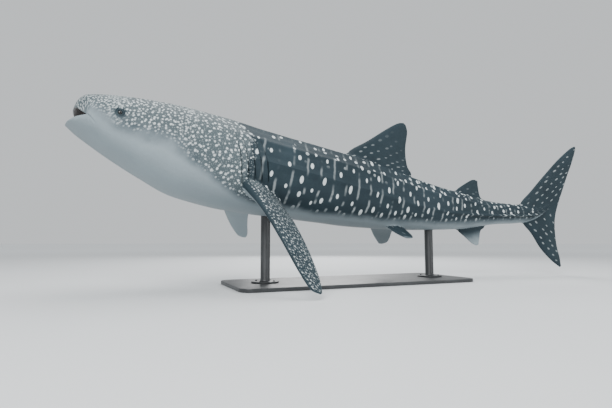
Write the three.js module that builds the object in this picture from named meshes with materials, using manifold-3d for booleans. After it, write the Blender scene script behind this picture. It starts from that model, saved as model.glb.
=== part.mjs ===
// A life-size whale shark, still, as a museum shows one: head raised, back gently arched, the broad
// pectoral fins hanging, and the whole held over the floor by two rods on a flat base plate.
// Millimetres, +Z up. The head points to -X and the tail to +X; the left side faces -Y.
// The origin is the middle of the base plate's underside.
import * as THREE from "three";
import { mergeVertices } from "three/addons/utils/BufferGeometryUtils.js";
import Module from "manifold-3d";

const wasm = await Module();
wasm.setup();

// Driving dimensions
const LENGTH = 7000; // the unit of the shares below; the tail fin's tip is at 0.95 of it along the back
const GAP = 0.3; // between pieces that touch
const FLOOR_CLEARANCE = 45; // under the lowest fin tip

// The pose: the way the backbone heads, turns and rolls along the body, in degrees.
// share is the distance from the snout as a share of LENGTH.
const POSE = {
  yaw: (share) => 10.6 - 37.3 * share + 20.2 * share * share,
  pitch: (share) => 13.8 - 7.5 * share - 10.5 * share * share,
  roll: (share) => 6.2 - 3.1 * share,
};

// The body's outline, as shares of LENGTH from the backbone's line:
// station, back, belly, half width
const OUTLINE = [
  [0.0, 0.0155, -0.0235, 0.066],
  [0.03, 0.0295, -0.0365, 0.066],
  [0.06, 0.039, -0.0475, 0.07],
  [0.1, 0.048, -0.0605, 0.0745],
  [0.15, 0.055, -0.074, 0.078],
  [0.2, 0.058, -0.076, 0.0785],
  [0.27, 0.06, -0.071, 0.076],
  [0.35, 0.062, -0.064, 0.07],
  [0.43, 0.061, -0.059, 0.061],
  [0.52, 0.051, -0.051, 0.049],
  [0.6, 0.04, -0.042, 0.0375],
  [0.67, 0.032, -0.033, 0.029],
  [0.74, 0.023, -0.02, 0.022],
  [0.8, 0.021, -0.0145, 0.018],
];
const BODY_START = -0.001; // the snout's foremost point
const BODY_END = 0.8; // where the tail fin takes over

// Blunt snout: the body opens to its full width, and to its full height above and below, over these
// runs; a higher power makes it blunter
const SNOUT = {
  width: { run: 0.052, power: 3 },
  upper: { run: 0.009, power: 2.5 },
  lower: { run: 0.016, power: 2.2 },
};
// How far the lower lip stands out in front of the upper one, and the depth below the backbone's
// line at which it does so in full; it fades out along the jaw
const LOWER_JAW = { lead: 0.004, depth: 0.018, fade: [0.01, 0.07] };

// The body's section: a rounded box at the head, nearly an ellipse from the trunk on. Its widest
// line lies below the middle by a share of the height.
const SECTION = { headPower: 2.5, trunkPower: 2.1, change: [0.05, 0.35], widestDrop: 0.1 };

// Long low ridges on each side of the back. Each is an angle up from the widest line, which falls
// towards the tail, where the lowest ridge becomes the keel.
const RIDGES = [
  { from: 64, to: 60, start: 0.14, end: 0.66, height: 0.0022 },
  { from: 40, to: 34, start: 0.17, end: 0.76, height: 0.0022 },
  { from: 15, to: 0, start: 0.2, end: 0.83, height: 0.0026 },
];
const RIDGE_HALF_ANGLE = 6;
const KEEL = { start: 0.58, full: 0.76, height: 0.0085 };

// Gills: five slits a side, from a top to a bottom angle, leaning back at the bottom and bowed a
// little backwards; the last ones end higher, above the pectoral fin's root
const GILLS = {
  first: 0.212,
  pitch: 0.0102,
  count: 5,
  top: 38,
  bottom: -20,
  raised: 7,
  lean: 0.028,
  bow: 0.002,
  width: 0.0016,
  depth: 0.009,
};

// Mouth: a wide gape at the very front, with the throat's hollow behind it
const MOUTH = {
  corner: [0.0145, -0.0105],
  upperLip: 0.0005,
  lowerLip: -0.0205,
  hollow: { centre: [0.035, -0.011], radii: [0.038, 0.045, 0.015] },
  jawRoot: [0.1, -0.08],
  lipRadius: 0.0014,
};

// Eye, spiracle and nostril: station, height, and size in shares of LENGTH
const EYE = { station: 0.049, height: 0.004, radius: 0.0034, proud: 0.0011 };
const SPIRACLE = { station: 0.0625, height: 0.007, radii: [0.0021, 0.003, 0.0013] };
const NOSTRIL = { station: 0.004, side: 0.043, height: 0.006, radius: 0.0022 };

// Where the body is parted
const PARTINGS = { head: 0.18, gills: 0.272, trunk: 0.48, tail: 0.66 };

// The stand
const STAND = {
  base: { length: 2900, width: 1050, thickness: 40, corner: 120, bevel: 8, station: 0.43 },
  rod: { radius: 52, sides: 24, weld: 16, flangeRadius: 150, flangeThickness: 18 },
  rodStations: [0.277, 0.59],
};

// Numbers along the body

const radians = THREE.MathUtils.degToRad;
const clamp = THREE.MathUtils.clamp;
const smoothstep = THREE.MathUtils.smoothstep;

// Smooth curve through the rows of a table, with no overshoot between them.
function along(table, column) {
  const xs = table.map((row) => row[0]);
  const ys = table.map((row) => row[column]);
  const last = xs.length - 1;
  const rise = xs.slice(1).map((x, i) => (ys[i + 1] - ys[i]) / (x - xs[i]));
  const slope = ys.map((_, i) => {
    if (i === 0) return rise[0];
    if (i === last) return rise[last - 1];
    if (rise[i - 1] * rise[i] <= 0) return 0;
    return (2 * rise[i - 1] * rise[i]) / (rise[i - 1] + rise[i]);
  });
  return (x) => {
    const at = clamp(x, xs[0], xs[last]);
    let i = 0;
    while (i < last - 1 && at > xs[i + 1]) i += 1;
    const span = xs[i + 1] - xs[i];
    const t = (at - xs[i]) / span;
    return (
      ys[i] * (1 + 2 * t) * (1 - t) ** 2 +
      slope[i] * span * t * (1 - t) ** 2 +
      ys[i + 1] * t * t * (3 - 2 * t) -
      slope[i + 1] * span * t * t * (1 - t)
    );
  };
}

const back = along(OUTLINE, 1);
const belly = along(OUTLINE, 2);
const halfWidth = along(OUTLINE, 3);

// The backbone, as positions and axes at even steps from snout to tail.
const BACKBONE_STEPS = 250;
const backbone = (() => {
  const frames = [];
  const position = new THREE.Vector3();
  for (let i = 0; i <= BACKBONE_STEPS; i += 1) {
    const share = i / BACKBONE_STEPS;
    const yaw = radians(POSE.yaw(share));
    const pitch = radians(POSE.pitch(share));
    const tailward = new THREE.Vector3(
      Math.cos(yaw) * Math.cos(pitch),
      Math.sin(yaw) * Math.cos(pitch),
      -Math.sin(pitch),
    );
    const left = new THREE.Vector3()
      .crossVectors(tailward, new THREE.Vector3(0, 0, 1))
      .normalize();
    left.applyAxisAngle(tailward, radians(POSE.roll(share)));
    const up = new THREE.Vector3().crossVectors(left, tailward);
    if (i > 0) {
      const step = LENGTH / BACKBONE_STEPS / 2;
      position.addScaledVector(frames[i - 1].tailward, step).addScaledVector(tailward, step);
    }
    frames.push({ position: position.clone(), tailward, left, up });
  }
  return frames;
})();

// A place in the body's own terms (shares of LENGTH) as a point with the snout at the origin.
function place(station, left, up) {
  const at = clamp(station, 0, 1) * BACKBONE_STEPS;
  const i = Math.min(Math.floor(at), BACKBONE_STEPS - 1);
  const [a, b] = [backbone[i], backbone[i + 1]];
  const mix = (key) => a[key].clone().lerp(b[key], at - i);
  return mix("position")
    .addScaledVector(mix("tailward").normalize(), (station - clamp(station, 0, 1)) * LENGTH)
    .addScaledVector(mix("left").normalize(), left * LENGTH)
    .addScaledVector(mix("up").normalize(), up * LENGTH);
}

// The skin

const ridgeAngle = (ridge, station) =>
  THREE.MathUtils.lerp(ridge.from, ridge.to, smoothstep(station, 0.25, 0.7));

// How far the ridges stand proud at an angle round the body.
function ridgeHeight(station, angle) {
  let height = 0;
  RIDGES.forEach((ridge, index) => {
    const off = Math.abs(angle - ridgeAngle(ridge, station));
    if (off >= RIDGE_HALF_ANGLE) return;
    const rise =
      smoothstep(station, ridge.start, ridge.start + 0.06) *
      (1 - smoothstep(station, ridge.end - 0.08, ridge.end));
    const keel = index === 2 ? KEEL.height * smoothstep(station, KEEL.start, KEEL.full) : 0;
    height += (ridge.height * rise + keel) * (1 - off / RIDGE_HALF_ANGLE);
  });
  return height;
}

// Share of the full width or height that the snout has opened to at a station.
function opened(station, { run, power }) {
  const share = clamp((station - BODY_START) / run, 0, 1);
  return (1 - (1 - share) ** power) ** (1 / power);
}

// Width and height of the body's smooth section at an angle, without ridges.
function section(station, angle) {
  const depth = back(station) - belly(station);
  const widest = belly(station) + depth * (0.5 - SECTION.widestDrop);
  const power =
    2 / THREE.MathUtils.lerp(SECTION.headPower, SECTION.trunkPower, smoothstep(station, ...SECTION.change));
  const across = Math.max(Math.cos(radians(angle)), 0);
  const upward = Math.sin(radians(angle));
  const reach =
    upward >= 0
      ? (back(station) - widest) * opened(station, SNOUT.upper)
      : (widest - belly(station)) * opened(station, SNOUT.lower);
  return {
    width: halfWidth(station) * opened(station, SNOUT.width) * across ** power,
    height: widest + reach * Math.sign(upward) * Math.abs(upward) ** power,
  };
}

// A point at a width and height of the head, brought forward with the lower jaw.
function onHead(station, width, height) {
  const lead = LOWER_JAW.lead * clamp(-height / LOWER_JAW.depth, 0, 1);
  return place(station - lead * (1 - smoothstep(station, ...LOWER_JAW.fade)), width, height);
}

// A point of the skin. angle is 90 on the back, 0 on the widest line and -90 on the belly;
// side is 1 on the left and -1 on the right; grow moves the skin outwards, in millimetres.
function skin(station, angle, side, grow = 0) {
  const { width, height } = section(station, angle);
  const raised = ridgeHeight(station, angle) + grow / LENGTH;
  return onHead(
    station,
    side * (width + raised * Math.cos(radians(angle))),
    height + raised * Math.sin(radians(angle)),
  );
}

// How far out the smooth skin is at a height on the side of the head.
function skinSide(station, height) {
  let [low, high] = [-90, 90];
  for (let i = 0; i < 30; i += 1) {
    const middle = (low + high) / 2;
    if (section(station, middle).height < height) low = middle;
    else high = middle;
  }
  return section(station, low).width;
}

// The angles of the skin's mesh lines on one side at a station, so that each ridge has a line on
// its crest and one at each foot.
const LINES_BELOW = [0.16, 0.33, 0.5, 0.66, 0.8, 0.92]; // shares of the way from the keel to the belly

function meshAngles(station) {
  const crests = RIDGES.map((ridge) => ridgeAngle(ridge, station));
  const lines = crests.flatMap((c) => [c + RIDGE_HALF_ANGLE, c, c - RIDGE_HALF_ANGLE]);
  const between = [(crests[0] + 90) / 2 + 2, (crests[0] + crests[1]) / 2, (crests[1] + crests[2]) / 2];
  const below = LINES_BELOW.map((share) =>
    THREE.MathUtils.lerp(crests[2] - RIDGE_HALF_ANGLE, -90, share),
  );
  return [90, ...lines, ...between, ...below, -90].sort((a, b) => b - a);
}

// A closed ring of the skin at a station: down the left side and up the right.
function skinRing(station, grow) {
  const angles = meshAngles(station);
  const down = angles.map((angle) => skin(station, angle, 1, grow));
  const up = angles.slice(1, -1).map((angle) => skin(station, angle, -1, grow));
  return [...down, ...up.reverse()];
}

// Meshes and solids

// A closed solid through rings of points, each ring alike in count. Fins pass alike = true, so
// that both faces are split into triangles the same way.
function loft(rings, alike = false) {
  const count = rings[0].length;
  const points = rings.flat();
  const faces = [];
  for (let r = 0; r < rings.length - 1; r += 1) {
    for (let k = 0; k < count; k += 1) {
      const next = (k + 1) % count;
      const [a, b] = [r * count + k, r * count + next];
      const [c, d] = [a + count, b + count];
      if (alike && k >= count / 2) faces.push([a, b, c], [b, d, c]);
      else faces.push([a, b, d], [a, d, c]);
    }
  }
  const cap = (first, turned) => {
    if (alike) {
      for (let k = 0; k < count / 2 - 1; k += 1) {
        const [a, b] = [first + k, first + k + 1];
        const [c, d] = [first + count - 2 - k, first + count - 1 - k];
        const split = [[a, c, b], [a, d, c]];
        split.forEach((face) => faces.push(turned ? face.reverse() : face));
      }
      return;
    }
    const middle = points.length;
    const sum = new THREE.Vector3();
    for (let k = 0; k < count; k += 1) sum.add(points[first + k]);
    points.push(sum.divideScalar(count));
    for (let k = 0; k < count; k += 1) {
      const face = [first + ((k + 1) % count), first + k, middle];
      faces.push(turned ? face.reverse() : face);
    }
  };
  cap(0, false);
  cap((rings.length - 1) * count, true);
  const geometry = new THREE.BufferGeometry().setFromPoints(points);
  geometry.setIndex(faces.flat());
  return facingOut(solid(geometry), geometry);
}

// A three.js geometry as a manifold-3d solid.
function solid(geometry) {
  const bare = geometry.clone();
  bare.deleteAttribute("normal");
  bare.deleteAttribute("uv");
  const merged = mergeVertices(bare, 1e-3);
  return new wasm.Manifold(
    new wasm.Mesh({
      numProp: 3,
      vertProperties: new Float32Array(merged.attributes.position.array),
      triVerts: new Uint32Array(merged.index.array),
    }),
  );
}

// The same solid with its faces turned to point out, if they pointed in.
function facingOut(made, geometry) {
  if (made.volume() > 0) return made;
  const turned = geometry.clone();
  const index = Array.from(turned.index.array);
  for (let i = 0; i < index.length; i += 3) [index[i + 1], index[i + 2]] = [index[i + 2], index[i + 1]];
  turned.setIndex(index);
  return solid(turned);
}

// The largest closed surface of a solid.
function largest(made) {
  return made.decompose().reduce((a, b) => (b.volume() > a.volume() ? b : a));
}

function geometryOf(made) {
  const mesh = made.getMesh();
  const geometry = new THREE.BufferGeometry();
  const points = new Float32Array(mesh.numVert * 3);
  for (let i = 0; i < mesh.numVert; i += 1) {
    points.set(mesh.vertProperties.subarray(i * mesh.numProp, i * mesh.numProp + 3), i * 3);
  }
  geometry.setAttribute("position", new THREE.BufferAttribute(points, 3));
  geometry.setIndex(new THREE.BufferAttribute(new Uint32Array(mesh.triVerts), 1));
  geometry.computeVertexNormals();
  return geometry;
}

// A geometry whose points are shares in the body's own terms (station, left, up), set in place.
function inBody(geometry) {
  const positions = geometry.attributes.position;
  for (let i = 0; i < positions.count; i += 1) {
    const p = place(positions.getX(i), positions.getY(i), positions.getZ(i));
    positions.setXYZ(i, p.x, p.y, p.z);
  }
  const made = new THREE.BufferGeometry();
  made.setAttribute("position", positions);
  if (geometry.index) made.setIndex(geometry.index);
  const merged = mergeVertices(made, 1e-3);
  return facingOut(solid(merged), merged);
}

// An outline in the (station, up) plane, carried across the body from side to side.
function acrossBody(outline, halfSpan) {
  const shape = new THREE.Shape(outline.map(([x, y]) => new THREE.Vector2(x, y)));
  const geometry = new THREE.ExtrudeGeometry(shape, { depth: 2 * halfSpan, bevelEnabled: false, steps: 6 });
  geometry.translate(0, 0, -halfSpan);
  geometry.rotateX(Math.PI / 2);
  return inBody(geometry);
}

function ellipsoid(station, left, up, radii, sides) {
  const geometry = new THREE.SphereGeometry(1, sides, Math.round(sides / 2));
  geometry.scale(...radii);
  geometry.translate(station, left, up);
  return inBody(geometry);
}

// The body

const SNOUT_STATIONS = [0.0003, 0.0012, 0.0028, 0.0055, 0.0095, 0.015, 0.022, 0.032, 0.043, 0.055];

function bodyStations(from, to) {
  const regular = [];
  for (let s = 0.07; s < PARTINGS.head - 0.01; s += 0.0185) regular.push(s);
  for (let s = 0.201; s < PARTINGS.gills - 0.01; s += 0.021) regular.push(s);
  for (let s = 0.291; s < BODY_END - 0.01; s += 0.027) regular.push(s);
  const snout = SNOUT_STATIONS.map((s) => BODY_START + s);
  const all = [...snout, ...regular, ...Object.values(PARTINGS)];
  const inside = all.filter((s) => s > from + 0.0002 && s < to - 0.0002);
  return [from, ...inside.sort((a, b) => a - b), to];
}

function bodyLength(from, to, grow = 0) {
  const stations = bodyStations(from, to);
  if (from <= BODY_START) stations[0] = BODY_START + 0.0001;
  return loft(stations.map((station) => skinRing(station, grow)));
}

const halfGap = GAP / 2 / LENGTH;
const bodyWithGap = bodyLength(BODY_START, BODY_END + halfGap, GAP);

// One gill slit: a thin curved blade that leans forward, under the flap in front of it
function gillSlit(index, side) {
  const station = GILLS.first + GILLS.pitch * index;
  const above = Math.max(0, index - 2) * GILLS.raised;
  const outside = 60;
  const slope = 0.004;
  const steps = 6;
  const rings = Array.from({ length: steps + 1 }, (_, i) => {
    const share = i / steps;
    const angle = THREE.MathUtils.lerp(GILLS.top, GILLS.bottom + above, share);
    const swell = Math.sin(Math.PI * clamp(share, 0.04, 0.96));
    const bow = station + GILLS.lean * (share - 0.5) + GILLS.bow * (swell - 0.6);
    const half = (GILLS.width / 2) * (0.35 + 0.65 * swell);
    const deep = GILLS.depth * (0.4 + 0.6 * swell) * LENGTH;
    return [
      skin(bow - half, angle, side, outside),
      skin(bow + half, angle, side, outside),
      skin(bow + half - slope, angle, side, -deep),
      skin(bow - half - slope, angle, side, -deep),
    ];
  });
  return loft(rings);
}

// The mouth: the edges of the gape in the (station, up) plane, from the front to the corner, the
// hollow behind, and a soft roll of lip along each edge
const UPPER_EDGE = [
  [-0.04, MOUTH.upperLip + 0.004],
  [-0.006, MOUTH.upperLip],
  [0.005, MOUTH.upperLip - 0.0045],
  [MOUTH.corner[0], MOUTH.corner[1] + 0.0006],
];
const LOWER_EDGE = [
  [-0.04, MOUTH.lowerLip - 0.012],
  [-0.002, MOUTH.lowerLip + 0.001],
  [0.007, MOUTH.corner[1] - 0.0045],
  [MOUTH.corner[0], MOUTH.corner[1] - 0.0006],
];
const gape = acrossBody([...UPPER_EDGE, ...[...LOWER_EDGE].reverse()], 0.12);
const hollow = ellipsoid(
  MOUTH.hollow.centre[0],
  0,
  MOUTH.hollow.centre[1],
  MOUTH.hollow.radii,
  20,
);

// Height of one edge of the gape at a station.
function edgeHeight(edge, station) {
  const next = edge.findIndex(([x]) => x >= station);
  const [[x0, y0], [x1, y1]] = [edge[next - 1], edge[next]];
  return y0 + ((y1 - y0) * (station - x0)) / (x1 - x0);
}

// The lip along one edge: a round bar that follows the skin from corner to corner
function lip(edge) {
  const width = (station) => skinSide(station, edgeHeight(edge, station));
  let front = BODY_START;
  while (width(front) < 0.001) front += 0.0001;
  const inset = 0.3 * MOUTH.lipRadius;
  const shares = [0.98, 0.86, 0.73, 0.6, 0.46, 0.33, 0.2, 0.1];
  const half = shares.map((share) => {
    const station = THREE.MathUtils.lerp(front, MOUTH.corner[0], share ** 2);
    return [station + inset, width(station), edgeHeight(edge, station)];
  });
  const middle = [front + inset, 0, edgeHeight(edge, front)];
  const mirrored = [...half].reverse().map(([station, out, height]) => [station, -out, height]);
  const curve = new THREE.CatmullRomCurve3([...half, middle, ...mirrored].map((p) => onHead(...p)));
  const steps = 30;
  const sides = 8;
  const rings = Array.from({ length: steps + 1 }, (_, i) => {
    const centre = curve.getPointAt(i / steps);
    const ahead = curve.getTangentAt(i / steps);
    const level = new THREE.Vector3().crossVectors(ahead, new THREE.Vector3(0, 0, 1)).normalize();
    return Array.from({ length: sides }, (_, k) =>
      centre
        .clone()
        .addScaledVector(
          level.clone().applyAxisAngle(ahead, (k * 2 * Math.PI) / sides),
          MOUTH.lipRadius * LENGTH,
        ),
    );
  });
  return loft(rings);
}

// Everything in front of and under a slope from the mouth's corner to the throat
function jawRegion(shift) {
  const [cornerX, cornerZ] = MOUTH.corner;
  const [rootX, rootZ] = MOUTH.jawRoot;
  const share = shift / LENGTH;
  return acrossBody(
    [
      [-0.05, cornerZ + share],
      [cornerX + share, cornerZ + share],
      [rootX + share, rootZ],
      [rootX + share, -0.15],
      [-0.05, -0.15],
    ],
    0.13,
  );
}

// Eyes sit in sockets with a low rim round them
function eyePlace(side, proud) {
  const inner = skinSide(EYE.station, EYE.height);
  return place(EYE.station, side * (inner + proud), EYE.height);
}

function ball(centre, radius, sides) {
  const geometry = new THREE.SphereGeometry(radius, sides, Math.round(sides * 0.6));
  geometry.translate(centre.x, centre.y, centre.z);
  return solid(geometry);
}

function eyeRim(side) {
  const ring = new THREE.TorusGeometry(1.42 * EYE.radius * LENGTH, 0.42 * EYE.radius * LENGTH, 6, 16);
  const outward = place(EYE.station, side, EYE.height).sub(place(EYE.station, 0, EYE.height)).normalize();
  ring.applyQuaternion(new THREE.Quaternion().setFromUnitVectors(new THREE.Vector3(0, 0, 1), outward));
  const centre = eyePlace(side, -0.0008);
  ring.translate(centre.x, centre.y, centre.z);
  return solid(ring);
}

const eyes = [1, -1].map((side) => ball(eyePlace(side, EYE.proud - EYE.radius), EYE.radius * LENGTH, 14));
const sockets = [1, -1].map((side) =>
  ball(eyePlace(side, EYE.proud - EYE.radius), EYE.radius * LENGTH + GAP, 14),
);

function spiracle(side) {
  const out = skinSide(SPIRACLE.station, SPIRACLE.height);
  return ellipsoid(SPIRACLE.station, side * out, SPIRACLE.height, SPIRACLE.radii, 10);
}

// Nostril: a pit at the upper lip's outer front, with a stub of a barbel beside it
function nostril(side) {
  const r = NOSTRIL.radius;
  return ellipsoid(
    NOSTRIL.station - 0.9 * r,
    side * NOSTRIL.side,
    NOSTRIL.height - 1.4 * r,
    [1.6 * r, r, 1.3 * r],
    10,
  );
}

function barbel(side) {
  const r = NOSTRIL.radius;
  return ellipsoid(
    NOSTRIL.station,
    side * (NOSTRIL.side - 1.9 * r),
    NOSTRIL.height - 1.6 * r,
    [0.9 * r, 0.6 * r, r],
    10,
  );
}

function headSolid() {
  let made = bodyLength(BODY_START, PARTINGS.head - halfGap);
  [1, -1].forEach((side) => {
    made = made.add(eyeRim(side));
    made = made.add(barbel(side));
  });
  made = made.subtract(gape).subtract(hollow).add(lip(UPPER_EDGE)).add(lip(LOWER_EDGE));
  [1, -1].forEach((side) => {
    made = made.subtract(spiracle(side)).subtract(nostril(side));
  });
  sockets.forEach((socket) => {
    made = made.subtract(socket);
  });
  return made;
}

const wholeHead = headSolid();
const head = largest(wholeHead.subtract(jawRegion(GAP)));
const lowerJaw = largest(wholeHead.intersect(jawRegion(0)));

function withSlits(made) {
  let cut = made;
  for (let i = 0; i < GILLS.count; i += 1) {
    [1, -1].forEach((side) => {
      cut = cut.subtract(gillSlit(i, side));
    });
  }
  return largest(cut);
}

const gillRegion = withSlits(bodyLength(PARTINGS.head + halfGap, PARTINGS.gills - halfGap));
const trunk = bodyLength(PARTINGS.gills + halfGap, PARTINGS.trunk - halfGap);
const tail = bodyLength(PARTINGS.trunk + halfGap, PARTINGS.tail - halfGap);
const tailStalk = bodyLength(PARTINGS.tail + halfGap, BODY_END - halfGap);

// Fins

const ROOT_FLARE = 0.2; // share of the span over which a fin swells into the body

// The foil's half thickness across the chord, 1 at its thickest: blunt in front, thin behind
const foil = (c) => 2.6 * Math.sqrt(c) * (1 - c) ** 0.9 * (1 - 0.18 * c);
const CHORD_STEPS = [0.0, 0.03, 0.1, 0.22, 0.38, 0.56, 0.74, 0.9, 1.0];

// A fin from rows along its span. Each row has its front and rear edge points, in the body's own
// terms, its greatest half thickness, and the direction across the blade.
function finSolid(rows, edge = 0.0005) {
  const rings = rows.map(({ front, rear, half, normal }) => {
    const top = [];
    const bottom = [];
    CHORD_STEPS.forEach((c) => {
      const middle = front.clone().lerp(rear, c);
      const thick = Math.max(half * foil(c), edge);
      const off = normal.clone().multiplyScalar(thick);
      top.push(middle.clone().add(off));
      bottom.push(middle.clone().sub(off));
    });
    return [...top, ...bottom.reverse()].map((p) => place(p.x, p.y, p.z));
  });
  return loft(rings, true);
}

// Rows of a fin that stands in the body's middle plane: upright fins above and below.
function uprightRows(fin, steps) {
  const front = new THREE.CatmullRomCurve3(fin.front.map(([s, z]) => new THREE.Vector3(s, 0, z)));
  const rear = new THREE.CatmullRomCurve3(fin.rear.map(([s, z]) => new THREE.Vector3(s, 0, z)));
  return Array.from({ length: steps + 1 }, (_, i) => {
    const t = i / steps;
    return {
      front: front.getPoint(t),
      rear: rear.getPoint(t),
      half:
        THREE.MathUtils.lerp(fin.rootHalf, fin.tipHalf, Math.min(1, t * 1.05) ** 0.8) +
        fin.flare * Math.exp(-((t / ROOT_FLARE) ** 2)),
      normal: new THREE.Vector3(0, 1, 0),
    };
  });
}

// Outlines of the upright fins, as shares: points of the front and the rear edge, root to tip
const FIRST_DORSAL = {
  front: [
    [0.382, 0.03], [0.411, 0.0665], [0.446, 0.0935], [0.482, 0.1235], [0.504, 0.139],
    [0.517, 0.1425],
  ],
  rear: [
    [0.556, 0.03], [0.549, 0.052], [0.536, 0.068], [0.528, 0.096], [0.5275, 0.126],
    [0.5225, 0.139],
  ],
  rootHalf: 0.0105,
  tipHalf: 0.0012,
  flare: 0.006,
};
const SECOND_DORSAL = {
  front: [
    [0.63, 0.022], [0.646, 0.037], [0.664, 0.05], [0.681, 0.0605], [0.69, 0.0625],
  ],
  rear: [
    [0.722, 0.012], [0.716, 0.0235], [0.705, 0.031], [0.6985, 0.05], [0.6965, 0.0605],
  ],
  rootHalf: 0.0055,
  tipHalf: 0.0009,
  flare: 0.003,
};
const ANAL = {
  front: [
    [0.642, -0.022], [0.657, -0.0365], [0.674, -0.047], [0.692, -0.059], [0.703, -0.063],
  ],
  rear: [
    [0.724, -0.012], [0.72, -0.026], [0.711, -0.034], [0.709, -0.05], [0.708, -0.061],
  ],
  rootHalf: 0.0048,
  tipHalf: 0.0008,
  flare: 0.003,
};

const firstDorsal = largest(finSolid(uprightRows(FIRST_DORSAL, 9)).subtract(bodyWithGap));
const secondDorsal = largest(finSolid(uprightRows(SECOND_DORSAL, 6)).subtract(bodyWithGap));
const anal = largest(finSolid(uprightRows(ANAL, 6)).subtract(bodyWithGap));

// Paired fins hang out and down from the body's lower edge. span points are
// [station, out, up] of the front edge; chord is [tailward, out, up] from front to rear edge.
function pairedRows(fin, side, steps) {
  const front = new THREE.CatmullRomCurve3(fin.front.map(([s, y, z]) => new THREE.Vector3(s, side * y, z)));
  const chord = new THREE.CatmullRomCurve3(fin.chord.map(([s, y, z]) => new THREE.Vector3(s, side * y, z)));
  return Array.from({ length: steps + 1 }, (_, i) => {
    const t = i / steps;
    const edge = front.getPoint(t);
    const across = chord.getPoint(t);
    const spanward = front.getTangent(t);
    const normal = new THREE.Vector3().crossVectors(across, spanward).normalize();
    return {
      front: edge,
      rear: edge.clone().add(across),
      half:
        THREE.MathUtils.lerp(fin.rootHalf, fin.tipHalf, t ** 0.8) +
        fin.flare * Math.exp(-((t / ROOT_FLARE) ** 2)),
      normal,
    };
  });
}

const PECTORAL_BLADE = {
  chord: [
    [0.08, -0.004, -0.026], [0.067, 0.0, -0.02], [0.054, 0.003, -0.015], [0.044, 0.004, -0.0115],
    [0.034, 0.003, -0.0085], [0.021, 0.001, -0.005], [0.009, 0.0, -0.002],
  ],
  rootHalf: 0.0085,
  tipHalf: 0.0012,
  flare: 0.006,
};
const PECTORAL = {
  left: {
    front: [
      [0.215, 0.05, -0.022], [0.228, 0.086, -0.04], [0.246, 0.118, -0.064], [0.267, 0.147, -0.095],
      [0.287, 0.168, -0.124], [0.302, 0.182, -0.143], [0.31, 0.188, -0.149],
    ],
    ...PECTORAL_BLADE,
  },
  right: {
    front: [
      [0.215, 0.05, -0.022], [0.228, 0.09, -0.035], [0.246, 0.126, -0.053], [0.267, 0.16, -0.075],
      [0.287, 0.186, -0.095], [0.302, 0.2, -0.108], [0.31, 0.206, -0.113],
    ],
    ...PECTORAL_BLADE,
  },
};
const PELVIC_BLADE = { rootHalf: 0.0045, tipHalf: 0.0009, flare: 0.003 };
const PELVIC = {
  left: {
    front: [
      [0.48, 0.018, -0.038], [0.494, 0.031, -0.049], [0.506, 0.039, -0.056],
      [0.517, 0.044, -0.0605], [0.524, 0.046, -0.0625],
    ],
    chord: [
      [0.05, -0.006, -0.003], [0.041, -0.002, -0.001], [0.032, 0.0, 0.0], [0.02, 0.001, 0.0],
      [0.005, 0.0, 0.0],
    ],
    ...PELVIC_BLADE,
  },
  right: {
    front: [
      [0.482, 0.02, -0.04], [0.499, 0.037, -0.053], [0.514, 0.05, -0.065], [0.528, 0.06, -0.075],
      [0.536, 0.065, -0.08],
    ],
    chord: [
      [0.052, -0.006, -0.004], [0.043, -0.002, -0.003], [0.034, 0.0, -0.002], [0.022, 0.001, 0.0],
      [0.006, 0.0, 0.0],
    ],
    ...PELVIC_BLADE,
  },
};

const pectorals = [
  largest(finSolid(pairedRows(PECTORAL.left, 1, 14)).subtract(bodyWithGap)),
  largest(finSolid(pairedRows(PECTORAL.right, -1, 14)).subtract(bodyWithGap)),
];
const pelvics = [
  largest(finSolid(pairedRows(PELVIC.left, 1, 7)).subtract(bodyWithGap)),
  largest(finSolid(pairedRows(PELVIC.right, -1, 7)).subtract(bodyWithGap)),
];

// Tail fin: one blade with a long upper and a shorter lower lobe, and the stalk's flesh running
// out into it
const TAIL_FIN = {
  front: [
    [0.9, -0.104], [0.878, -0.088], [0.853, -0.064], [0.83, -0.034], [0.808, -0.014],
    [0.797, 0.002], [0.8, 0.022], [0.826, 0.047], [0.86, 0.08], [0.9, 0.115], [0.935, 0.139],
    [0.95, 0.1455],
  ],
  rear: [
    [0.9035, -0.101], [0.901, -0.085], [0.8945, -0.062], [0.891, -0.038], [0.89, -0.014],
    [0.893, 0.006], [0.9, 0.026], [0.911, 0.051], [0.925, 0.081], [0.9395, 0.109], [0.9505, 0.134],
    [0.953, 0.1435],
  ],
  rootHalf: 0.0062,
  tipHalf: 0.0011,
};

function tailFinRows(steps) {
  const front = new THREE.CatmullRomCurve3(TAIL_FIN.front.map(([s, z]) => new THREE.Vector3(s, 0, z)));
  const rear = new THREE.CatmullRomCurve3(TAIL_FIN.rear.map(([s, z]) => new THREE.Vector3(s, 0, z)));
  return Array.from({ length: steps + 1 }, (_, i) => {
    const t = i / steps;
    return {
      front: front.getPoint(t),
      rear: rear.getPoint(t),
      half: THREE.MathUtils.lerp(TAIL_FIN.tipHalf, TAIL_FIN.rootHalf, Math.sin(Math.PI * t) ** 0.8),
      normal: new THREE.Vector3(0, 1, 0),
    };
  });
}

// The stalk's section at the body's end, drawn in as it runs out along the blade and rises with it
function stalkEnd() {
  const reach = 0.085;
  const rise = 0.03;
  const level = 0.003;
  const tipSize = 0.015;
  const steps = 7;
  const rings = [];
  const root = skinRing(BODY_END - 0.004, 0);
  const centre = new THREE.Vector3();
  root.forEach((p) => centre.add(p));
  centre.divideScalar(root.length);
  for (let i = 0; i <= steps; i += 1) {
    const t = i / steps;
    const end = place(BODY_END + reach * t, 0, level + rise * t * t);
    const size = THREE.MathUtils.lerp(tipSize, 1, (1 - t) ** 0.8);
    rings.push(root.map((p) => p.clone().sub(centre).multiplyScalar(size).add(end)));
  }
  return loft(rings);
}

const tailFin = largest(finSolid(tailFinRows(20)).add(stalkEnd()).subtract(bodyWithGap));

// The stand

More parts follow.
